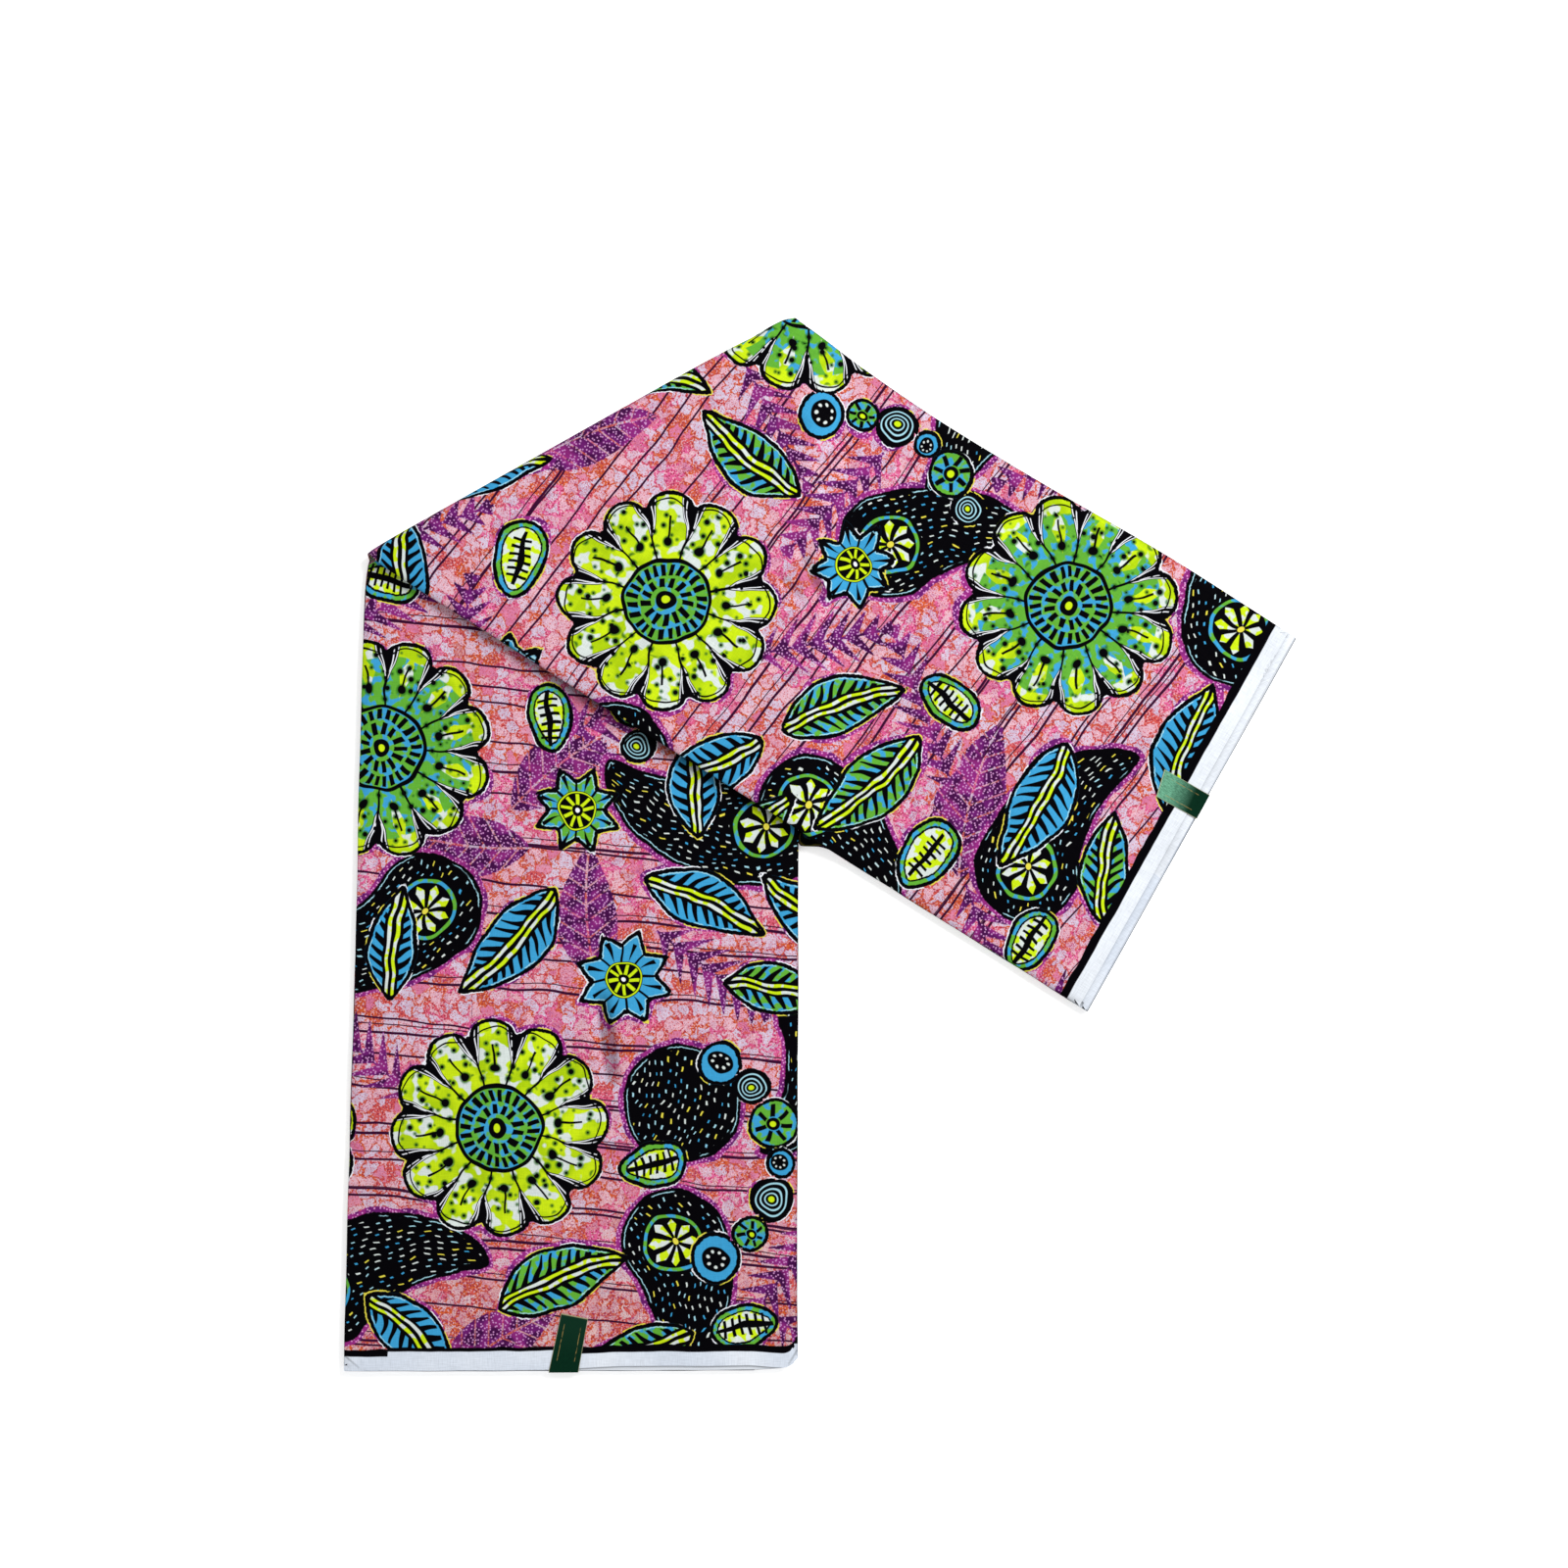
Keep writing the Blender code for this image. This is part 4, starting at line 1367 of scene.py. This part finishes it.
beadSizes = {  # as shares of the bead's radius
    "soft": 0.03,
    "blueMiddle": 0.54,
    "dots": (7, 0.33, 0.22),  # count, radius and size
    "spokes": (7, 0.105),
    "spokePlace": (0.56, 0.22),
    "greenMiddle": 0.30,
    "eyes": (0.14, 0.15),
    "rings": ((0.72, 0.035), (0.50, 0.035), (0.30, 0.03)),
}


def beadInk(tree, u, v, size, variant, patches):
    # Three kinds: blue with a dotted middle, green with spokes, and black with rings
    sizes = beadSizes
    soft = sizes["soft"]
    radius = rootSum(u, v) / size
    turn = turnOf(tree, u, v)
    blueBead = painted(tree, inks["blue"], inks["black"], under(radius, sizes["blueMiddle"], soft))
    count, dotRadius, dotSize = sizes["dots"]
    dots = under(rootSum((radius - dotRadius) * 3.2, cell(turn * count)), dotSize, 0.1)
    blueBead = painted(tree, blueBead, inks["pale"], dots)
    greenBead = marbled(tree, patches, inks["green"], inks["blue"])
    count, half = sizes["spokes"]
    spokes = under(abs(cell(turn * count)) * radius, half, soft) * near(radius, *sizes["spokePlace"], soft)
    spokes = most(spokes, under(radius, sizes["greenMiddle"], soft))
    greenBead = painted(tree, greenBead, inks["black"], spokes)
    greenBead = painted(tree, greenBead, inks["lime"], under(radius, sizes["eyes"][0], soft))
    rings = most(*(near(radius, place, half, soft) for place, half in sizes["rings"]))
    blackBead = painted(tree, inks["black"], inks["sky"], rings)
    blackBead = painted(tree, blackBead, inks["lime"], under(radius, sizes["eyes"][1], soft))
    colour = painted(tree, blueBead, greenBead, over(variant, 0.5, 0.01))
    return painted(tree, colour, blackBead, over(variant, 1.5, 0.01))


cowrieSizes = {
    "rim": -5.6,
    "rimLine": (-5.8, 0.7),
    "slit": (2.4, 20.0),  # half width and half length
    "teeth": (5.2, 7.2, 17.0),  # spacing, half height and how far along
}


def cowrieInk(tree, u, v, edge, patches):
    sizes = cowrieSizes
    aside = abs(v)
    colour = painted(tree, inks["lime"], inks["pale"], over(patches["medium"], 0.49, 0.06))
    rim = marbled(tree, patches, inks["green"], inks["blue"])
    colour = painted(tree, colour, rim, over(edge, sizes["rim"]))
    slitHalf, slitLength = sizes["slit"]
    spacing, toothHeight, toothReach = sizes["teeth"]
    lines = most(
        under(aside, slitHalf - abs(u) * 0.05) * under(abs(u), slitLength),
        under(abs(cell(u / spacing)), 0.20, 0.06) * under(aside, toothHeight) * under(abs(u), toothReach),
        near(edge, *sizes["rimLine"]),
    )
    return painted(tree, colour, inks["black"], lines)


selvedge = {
    "hemWhite": 10.2,
    "panelRise": 3.6,  # the bare panel in the hem's border reaches this much further in
    "panel": (32.0, 154.0),
    "endWhite": 10.3,
    "line": 5.0,  # width of the black line along the hem
    "panelLine": 2.8,
    "endLine": 6.0,
    "wander": 1.2,
    "lineWander": 1.6,
}


def selvedgeInk(tree, colour, x, run, patches):
    # A bare margin with a black line inside it
    atEnd = over(x, design["between"], 0.5)
    first, last = selvedge["panel"]
    panel = under(abs(x - (first + last) / 2.0), (last - first) / 2.0)
    margin = selvedge["hemWhite"] + selvedge["panelRise"] * panel
    margin = margin + (selvedge["endWhite"] - margin) * atEnd + (patches["wide"] - 0.5) * selvedge["wander"]
    line = selvedge["line"] + (selvedge["panelLine"] - selvedge["line"]) * panel
    line = line + (selvedge["endLine"] - line) * atEnd + (patches["patch"] - 0.5) * selvedge["lineWander"]
    colour = painted(tree, colour, inks["black"], under(run, margin + line, 0.4))
    paler = most(atEnd, over(patches["slow"], 0.55, 0.3) * 0.7)
    bare = painted(tree, inks["hemWhite"], inks["endWhite"], paler)
    return painted(tree, colour, bare, under(run, margin, 0.4))


# Short sharp creases drawn only as painted shade lines, on the design's x and y: both ends of each, in
# millimetres
paintedPinchLines = (((1.1, 8.5), (11.0, 0.3)), ((326.3, 12.0), (320.6, 2.8)), ((633.7, 450.9), (628.4, 443.4)))


def pinchShade(tree, x, y, start, end):
    # 1 on a thin painted shade line that fades towards its second end
    stepX, stepY = end[0] - start[0], end[1] - start[1]
    reach = stepX * stepX + stepY * stepY
    offX, offY = x - start[0], y - start[1]
    share = maths(tree, "ADD", offX * (stepX / reach), offY * (stepY / reach), clamp=True)
    gap = rootSum(offX - share * stepX, offY - share * stepY)
    return under(gap, 0.7, 0.9) * (1.0 - share * 0.6)


clothLooks = {
    "slub": (0.12, 1.6),  # long and short scale of the uneven threads
    "slubShade": 0.26,
    "foldRimShade": (-0.75, 0.5),  # how fast the painted shade at a folded rim fades for each millimetre, and how dark it is
    "cutRimShade": (1.2, 0.6),  # painted shade at a cut rim: its width in millimetres, and how dark it is
    "roughness": 0.74,
    "specular": 0.03,
    "weaveScale": 0.6,
    "bump": (0.25, 0.00012),  # strength, and depth in metres
}


def clothFinish(tree, shader, colour, flat, x, y, patches):
    # Threads of uneven thickness, painted shade in the creases' troughs, beside the covering edge and along
    # the rims, and a low woven surface
    looks = clothLooks
    slubs = noise(tree, scaled(tree, flat, looks["slub"]), 1.0)
    slubs = slubs + noise(tree, scaled(tree, flat, looks["slub"][::-1]), 1.0)
    _, depth, dark, outside = attributeParts(tree, "paintedShadePlace")
    # Painted shade in the crease troughs and along the pinch lines
    creaseShade = maths(tree, "MAXIMUM", depth * -1.0 - 0.25, 0.0, clamp=True)
    for start, end in paintedPinchLines:
        creaseShade = most(creaseShade, pinchShade(tree, x, y, start, end))
    # Painted shadow beside the covering edge, fading with the distance from it
    outside = maths(tree, "MAXIMUM", outside, 0.0)
    dark = dark * maths(tree, "EXPONENT", outside * (-1.0 / pack["contactRun"]))
    _, fromFold, fromCut, _ = attributeParts(tree, "rimPlace")
    fading, foldDark = looks["foldRimShade"]
    cutWidth, cutDark = looks["cutRimShade"]
    # Painted dark rim along the outermost folded edges and the cut outline
    foldRimShade = maths(tree, "EXPONENT", fromFold * fading) * foldDark
    rim = most(foldRimShade, under(fromCut, cutWidth, 0.6) * cutDark)
    light = 0.88 + (slubs - 1.0) * looks["slubShade"] + patches["slow"] * 0.22
    light = light * (1.0 - creaseShade * 0.5) * (1.0 - rim)
    toned = newNode(tree, "ShaderNodeHueSaturation")
    feed(tree, toned.inputs["Value"], light * (1.0 - dark * 0.94))
    feed(tree, toned.inputs["Color"], colour)
    tree.links.new(toned.outputs[0], shader.inputs["Base Color"])
    feed(tree, shader.inputs["Roughness"], looks["roughness"] + (slubs - 1.0) * 0.25)
    shader.inputs["Specular IOR Level"].default_value = looks["specular"]
    threads = slubs * 1.5
    for direction in ("X", "Y"):
        weave = newNode(tree, "ShaderNodeTexWave")
        weave.bands_direction = direction
        weave.inputs["Scale"].default_value = looks["weaveScale"]
        weave.inputs["Distortion"].default_value = 0.6
        feed(tree, weave.inputs["Vector"], flat)
        threads = threads + Wire(tree, weave.outputs["Fac"])
    bump = newNode(tree, "ShaderNodeBump")
    bump.inputs["Strength"].default_value, bump.inputs["Distance"].default_value = looks["bump"]
    feed(tree, bump.inputs["Height"], threads)
    tree.links.new(bump.outputs[0], shader.inputs["Normal"])


# Patches of noise that the inks share: size in millimetres and detail
grains = {
    "slow": (55.0, 1.0),
    "wide": (22.0, 1.0),
    "patch": (11.0, 1.0),
    "medium": (7.0, 1.0),
    "squiggle": (2.7, 1.0),
    "scratch": (2.6, 2.0),
    "fine": (1.5, 1.0),
}

printSizes = {
    "threads": ((26.0, 3.0, 6.0, 1.2), (37.0, 11.0, 5.0, 1.0)),  # spacing, offset, slow and quick wandering
    "backBand": (1.6, 3.4),  # the magenta band round the black forms: width, and how much more
    "bandStart": 0.465,  # round the other motifs it comes and goes
    "bandSpread": 16.0,
    "backGlint": (-2.6, 0.3),
    "sliver": 0.6,
    "outline": (-1.1, 1.35),
}


def printedCotton():
    material, tree, shader = newMaterial("printed cotton")
    flat, x, y, run = attributeParts(tree, "flatPlace")
    patches = {name: noise(tree, flat, *grain) for name, grain in grains.items()}
    _, u, v, distance = attributeParts(tree, "frontPlace")
    _, kind, size, variant = attributeParts(tree, "frontLook")
    _, backU, backV, backDistance = attributeParts(tree, "backPlace")
    _, backKind, _, _ = attributeParts(tree, "backLook")
    across, along, out = handWobble(tree, flat)
    u, v, backU, backV = u + across, v + along, backU + across, backV + along
    out = out + (patches["scratch"] - 0.5) * wobble["ragged"]
    edge, backEdge = distance + out, backDistance + out

    colour = groundInk(tree, flat, x, run, patches)
    lines = []
    for spacing, offset, slowly, quickly in printSizes["threads"]:
        wander = patches["slow"] * slowly + patches["wide"] * quickly
        lines.append(threadLines(tree, x, y, spacing, offset, wander))
    colour = painted(tree, colour, inks["thread"], most(*lines))
    purple, band = toneInk(tree, flat, patches)
    colour = painted(tree, colour, purple, toneMask(tree, patches))
    bandWidth, bandMore = printSizes["backBand"]
    colour = painted(tree, colour, band, under(backEdge, bandWidth + patches["wide"] * bandMore))
    dashes = dashInk(tree, backU, backV, backEdge, over(backKind, motifKinds["pod"] + 0.5, 0.1), patches)
    colour = painted(tree, colour, dashes, under(backEdge, 0.0, 0.6))
    glint = near(backEdge, *printSizes["backGlint"]) * over(patches["wide"], 0.52, 0.05)
    colour = painted(tree, colour, inks["sky"], glint)
    bandWidth = (patches["slow"] - printSizes["bandStart"]) * printSizes["bandSpread"]
    colour = painted(tree, colour, band, under(edge, bandWidth) * over(backEdge, 0.0))
    # Slivers where the colours miss their outlines
    sliver = printSizes["sliver"]
    whiteSliver = near(edge, sliver, 0.4) * over(patches["wide"], 0.57, 0.04)
    colour = painted(tree, colour, inks["white"], whiteSliver)
    yellowSliver = near(edge, sliver, 0.45) * under(patches["wide"], 0.39, 0.03)
    colour = painted(tree, colour, inks["yellow"], yellowSliver)
    inside = under(edge, 0.0, 0.6)
    drawings = {
        "blossom": blossomInk(tree, u, v, flat, variant, patches),
        "leaf": leafInk(tree, u, v, edge, variant, patches),
        "star": starInk(tree, u, v, edge, variant, patches),
        "bead": beadInk(tree, u, v, size, variant, patches),
        "cowrie": cowrieInk(tree, u, v, edge, patches),
    }
    for name, drawing in drawings.items():
        colour = painted(tree, colour, drawing, near(kind, motifKinds[name], 0.4, 0.1) * inside)
    colour = painted(tree, colour, inks["black"], near(edge, *printSizes["outline"]))
    colour = selvedgeInk(tree, colour, x, run, patches)
    clothFinish(tree, shader, colour, flat, x, y, patches)
    print("printed cotton:", len(tree.nodes), "nodes")
    return material


cotton = printedCotton()
cloth = [lowerTop, upperTop, lowerUnder, upperUnder, leafEdges]
for piece in cloth:
    piece.data.materials.append(cotton)
    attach(piece, "root")
    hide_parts("cloth")


paperLooks = {
    "base": (ink("032416"), ink("6CAA8B"), ink("062D1C")),  # green, its painted sheen, and its fibres
    "rules": (0.80, 0.20),  # places across
    "ruleHalf": 0.010,
    "rulesAlong": (0.42, 0.27),  # middle and half length
    "gold": ink("A88C50"),
    "rim": ink("B9B48C"),
    "roughness": 0.42,
    "specular": 0.03,
}


def greenPaper():
    # Glossy green paper with two plain gold rules, worn paler edges, and a painted sheen that pales its
    # inner part
    material, tree, shader = newMaterial("green paper")
    place, along, across, paler = attributeParts(tree, "paperPlace")
    fibre = noise(tree, scaled(tree, place, (4.0, 9.0)), 0.25, 3.0)
    green, sheenGreen, deep = paperLooks["base"]
    # Painted sheen: the inner part, which lies flat on top, is paler
    colour = painted(tree, green, sheenGreen, under(along, 0.41, 0.44) * paler)
    colour = painted(tree, colour, deep, over(fibre, 0.5, 0.25) * 0.5)
    rules = most(*(near(across, place, paperLooks["ruleHalf"], 0.012) for place in paperLooks["rules"]))
    rules = rules * near(along, *paperLooks["rulesAlong"], 0.02)
    colour = painted(tree, colour, paperLooks["gold"], rules * over(fibre, 0.47, 0.1) * 0.8)
    rim = most(over(abs(across - 0.5), 0.488, 0.012), under(along, 0.014, 0.014))
    colour = painted(tree, colour, paperLooks["rim"], rim * 0.7)
    tree.links.new(colour.socket, shader.inputs["Base Color"])
    feed(tree, shader.inputs["Roughness"], paperLooks["roughness"] + fibre * 0.16)
    shader.inputs["Specular IOR Level"].default_value = paperLooks["specular"]
    return material


# Paper stickers folded over the selvedges: their two sides across the cloth, at its edge and at the
# inner end, how far in each side reaches, and how much painted sheen pales the inner part
stickers = {
    "sticker_hem": {
        "edge": (0.4510, 0.5165),
        "inner": (0.4775, 0.5370),
        "length": (45.5, 40.4),
        "hem": True,
        "paler": 0.02,
    },
    "sticker_end": {
        "edge": (0.5180, 0.5810),
        "inner": (0.5110, 0.5750),
        "length": (33.0, 36.0),
        "hem": False,
        "paler": 1.0,
    },
    "clear": 0.25,
    "bend": 1.2,
    "foot": 0.8,
    "thickness": 0.16,
    "curl": 0.25,
    "curlRun": 0.004,
}


def edgeSpot(across, inward, atHem):
    if atHem:
        return clothPlace(inward * mm / axisReach, across, thickness)
    return clothPlace(3.0 - inward * mm / upperLength, across, 0.0)


def deselectAll():
    for obj in bpy.context.selected_objects:
        obj.select_set(False)


def makeSticker(name):
    sizes = stickers[name]
    deselectAll()
    bpy.ops.mesh.primitive_grid_add(x_subdivisions=26, y_subdivisions=12, size=1.0)
    paper = bpy.context.object
    paper.name = paper.data.name = name + "_paper"
    atHem = sizes["hem"]
    places = np.array([vertex.co[:] for vertex in paper.data.vertices])
    run, share = places[:, 0] + 0.5, places[:, 1] + 0.5
    if not atHem:
        share = 1.0 - share
    inner = np.interp(share, (0, 1), sizes["inner"])
    edge = np.interp(share, (0, 1), sizes["edge"])
    length = np.interp(share, (0, 1), sizes["length"])
    outermost = -max(endOut(leaf, atHem, edge).max() for leaf in range(1, leafCount - 1)) / mm
    start, finish = edgeSpot(inner, length, atHem), edgeSpot(edge, outermost - stickers["clear"], atHem)
    top = thickness + stickers["clear"] * mm
    bend, foot = stickers["bend"] * mm, stickers["foot"] * mm
    flat = np.linalg.norm(finish[:, :2] - start[:, :2], axis=1) - bend
    total = flat + 0.5 * math.pi * bend + top - bend - foot
    walked = run ** 0.9 * total
    angle = np.clip((walked - flat) / bend, 0.0, 0.5 * math.pi)
    reach = np.minimum(walked, flat) + bend * np.sin(angle)
    height = top - bend * (1.0 - np.cos(angle)) - np.maximum(walked - flat - 0.5 * math.pi * bend, 0.0)
    along = (finish[:, :2] - start[:, :2]) / (flat + bend)[:, None]
    places[:, :2] = start[:, :2] + along * reach[:, None]
    lifted = np.exp(-walked / stickers["curlRun"]) * (1.2 - np.sin(math.pi * share))
    places[:, 2] = height + stickers["curl"] * mm * lifted
    paper.data.vertices.foreach_set("co", places.ravel())
    paper.data.update()
    if np.mean([face.normal.z for face in paper.data.polygons]) < 0.0:
        paper.data.flip_normals()
    faces = np.array([face.vertices[:] for face in paper.data.polygons])
    flatPlace = np.stack([walked / total, share, 0.0 * share + sizes["paler"]], axis=-1)
    cornerVectors(paper, "paperPlace", flatPlace[faces])
    solid = paper.modifiers.new("paper", "SOLIDIFY")
    solid.thickness = stickers["thickness"] * mm
    solid.offset = 1.0
    bpy.ops.object.modifier_apply(modifier="paper")
    bpy.ops.object.shade_smooth_by_angle(angle=math.radians(40))
    return paper


paperFinish = greenPaper()
for name in ("sticker_hem", "sticker_end"):
    paper = makeSticker(name)
    paper.data.materials.append(paperFinish)
    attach(paper, "root")
    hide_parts(name)
print("stickers ready")


# A fold of an inner leaf that shows in the corner between the two stretches, painted in deep shade
tongue = {
    "outer": ((0.3, 386.0), (0.4, 377.2), (1.6, 375.3), (6.0, 375.0), (13.0, 374.9), (17.0, 374.5),
              (21.2, 373.2), (30.0, 369.6)),
    "level": 4.6,
    "thick": 0.84,
    "inward": 14.0,
    "steps": 60,
    "smoothed": 6,
    "printSpot": (238.0, 541.0),  # where on the design it lies
}


def makeTongue():
    corners = np.array(tongue["outer"])
    run = np.concatenate([[0.0], np.cumsum(np.linalg.norm(np.diff(corners, axis=0), axis=1))])
    steps = np.linspace(0.0, run[-1], tongue["steps"])
    line = np.stack([np.interp(steps, run, corners[:, 0]), np.interp(steps, run, corners[:, 1])], axis=-1)
    for _ in range(tongue["smoothed"]):
        line[1:-1] = 0.25 * line[:-2] + 0.5 * line[1:-1] + 0.25 * line[2:]
    inward = np.array([-math.sin(pack["frontHeading"]), math.cos(pack["frontHeading"])])
    half = 0.5 * tongue["thick"]
    turn = np.linspace(0.5 * math.pi, -0.5 * math.pi, 7)
    across = [(tongue["inward"], half + 0.6), (7.0, half + 0.15)]
    across += [(half * (1.0 - math.cos(a)), half * math.sin(a)) for a in turn]
    across += [(tongue["inward"], -half + 0.2)]
    rows = [np.concatenate([line + inward * back, np.full((len(line), 1), tongue["level"] + up)], axis=1)
            for back, up in across]
    points = np.stack(rows, axis=1) * mm
    points[..., :2] += pack["corner"]
    faces = gridFaces(len(line), len(across))
    obj = meshObject("inner_fold", points, faces)
    back = np.array([offset[0] for offset in across])
    flat = np.stack(np.broadcast_arrays(steps[:, None] * 0.4, back[None, :] * 0.6), axis=-1).reshape(-1, 2)
    flat += np.array(tongue["printSpot"])
    # The fold is painted in deep shade all over
    printCloth(obj, flat, faces, np.full(len(flat), 0.2), shade=1.0)
    upright = np.linspace(0.02, 0.98, len(across))[None]
    uv = np.stack(np.broadcast_arrays(steps[:, None] / run[-1], upright), axis=-1).reshape(-1, 2)
    bakeMap(obj, uv[faces])
    return obj


innerFold = makeTongue()
innerFold.data.materials.append(cotton)
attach(innerFold, "root")
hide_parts("cloth")


# A lit table, so that the shadows on it stay pale
ground = {"size": 40.0, "drop": 0.0002, "grey": 0.92, "roughness": 0.9, "glow": 0.40}


def makeFloor():
    deselectAll()
    bpy.ops.mesh.primitive_plane_add(size=ground["size"], location=(0.0, 0.0, -ground["drop"]))
    floor = bpy.context.object
    floor.name = "floor"
    material, _, shader = newMaterial("pale floor")
    shader.inputs["Base Color"].default_value = (ground["grey"], ground["grey"], ground["grey"], 1.0)
    shader.inputs["Roughness"].default_value = ground["roughness"]
    shader.inputs["Emission Color"].default_value = (1.0, 1.0, 1.0, 1.0)
    shader.inputs["Emission Strength"].default_value = ground["glow"]
    floor.data.materials.append(material)
    bpy.ops.object.transform_apply(location=True, rotation=True, scale=True)


makeFloor()

studio = {
    "photoCentre": (-0.0261, 0.0421),
    "frameWidth": 1.1312,  # what the photograph's full width covers, in metres
    "lens": 85.0,
    "sensor": 36.0,
    "worldLight": 0.52,
    "key": {"size": 1.0, "power": 62.0, "place": (1.3, 1.4, 1.8)},
    "fill": {"size": 2.4, "power": 12.0, "place": (-1.2, -1.2, 2.4)},
}


def makeCamera():
    data = bpy.data.cameras.new("camera")
    data.lens = studio["lens"]
    data.sensor_width = studio["sensor"]
    camera = bpy.data.objects.new("camera", data)
    bpy.context.scene.collection.objects.link(camera)
    distance = studio["frameWidth"] * studio["lens"] / studio["sensor"]
    camera.location = (*studio["photoCentre"], distance)
    bpy.context.scene.camera = camera


def makeLights():
    world = bpy.data.worlds.new("studio")
    world.use_nodes = True
    world.node_tree.nodes["Background"].inputs["Color"].default_value = (1.0, 1.0, 1.0, 1.0)
    world.node_tree.nodes["Background"].inputs["Strength"].default_value = studio["worldLight"]
    bpy.context.scene.world = world
    for name in ("key", "fill"):
        light = studio[name]
        data = bpy.data.lights.new(name, "AREA")
        data.energy = light["power"]
        data.size = light["size"]
        obj = bpy.data.objects.new(name, data)
        bpy.context.scene.collection.objects.link(obj)
        obj.location = light["place"]
        away = obj.location.normalized()
        obj.rotation_euler = away.to_track_quat("Z", "Y").to_euler()
    bpy.context.scene.view_settings.view_transform = "Standard"


makeCamera()
makeLights()
print("studio ready")
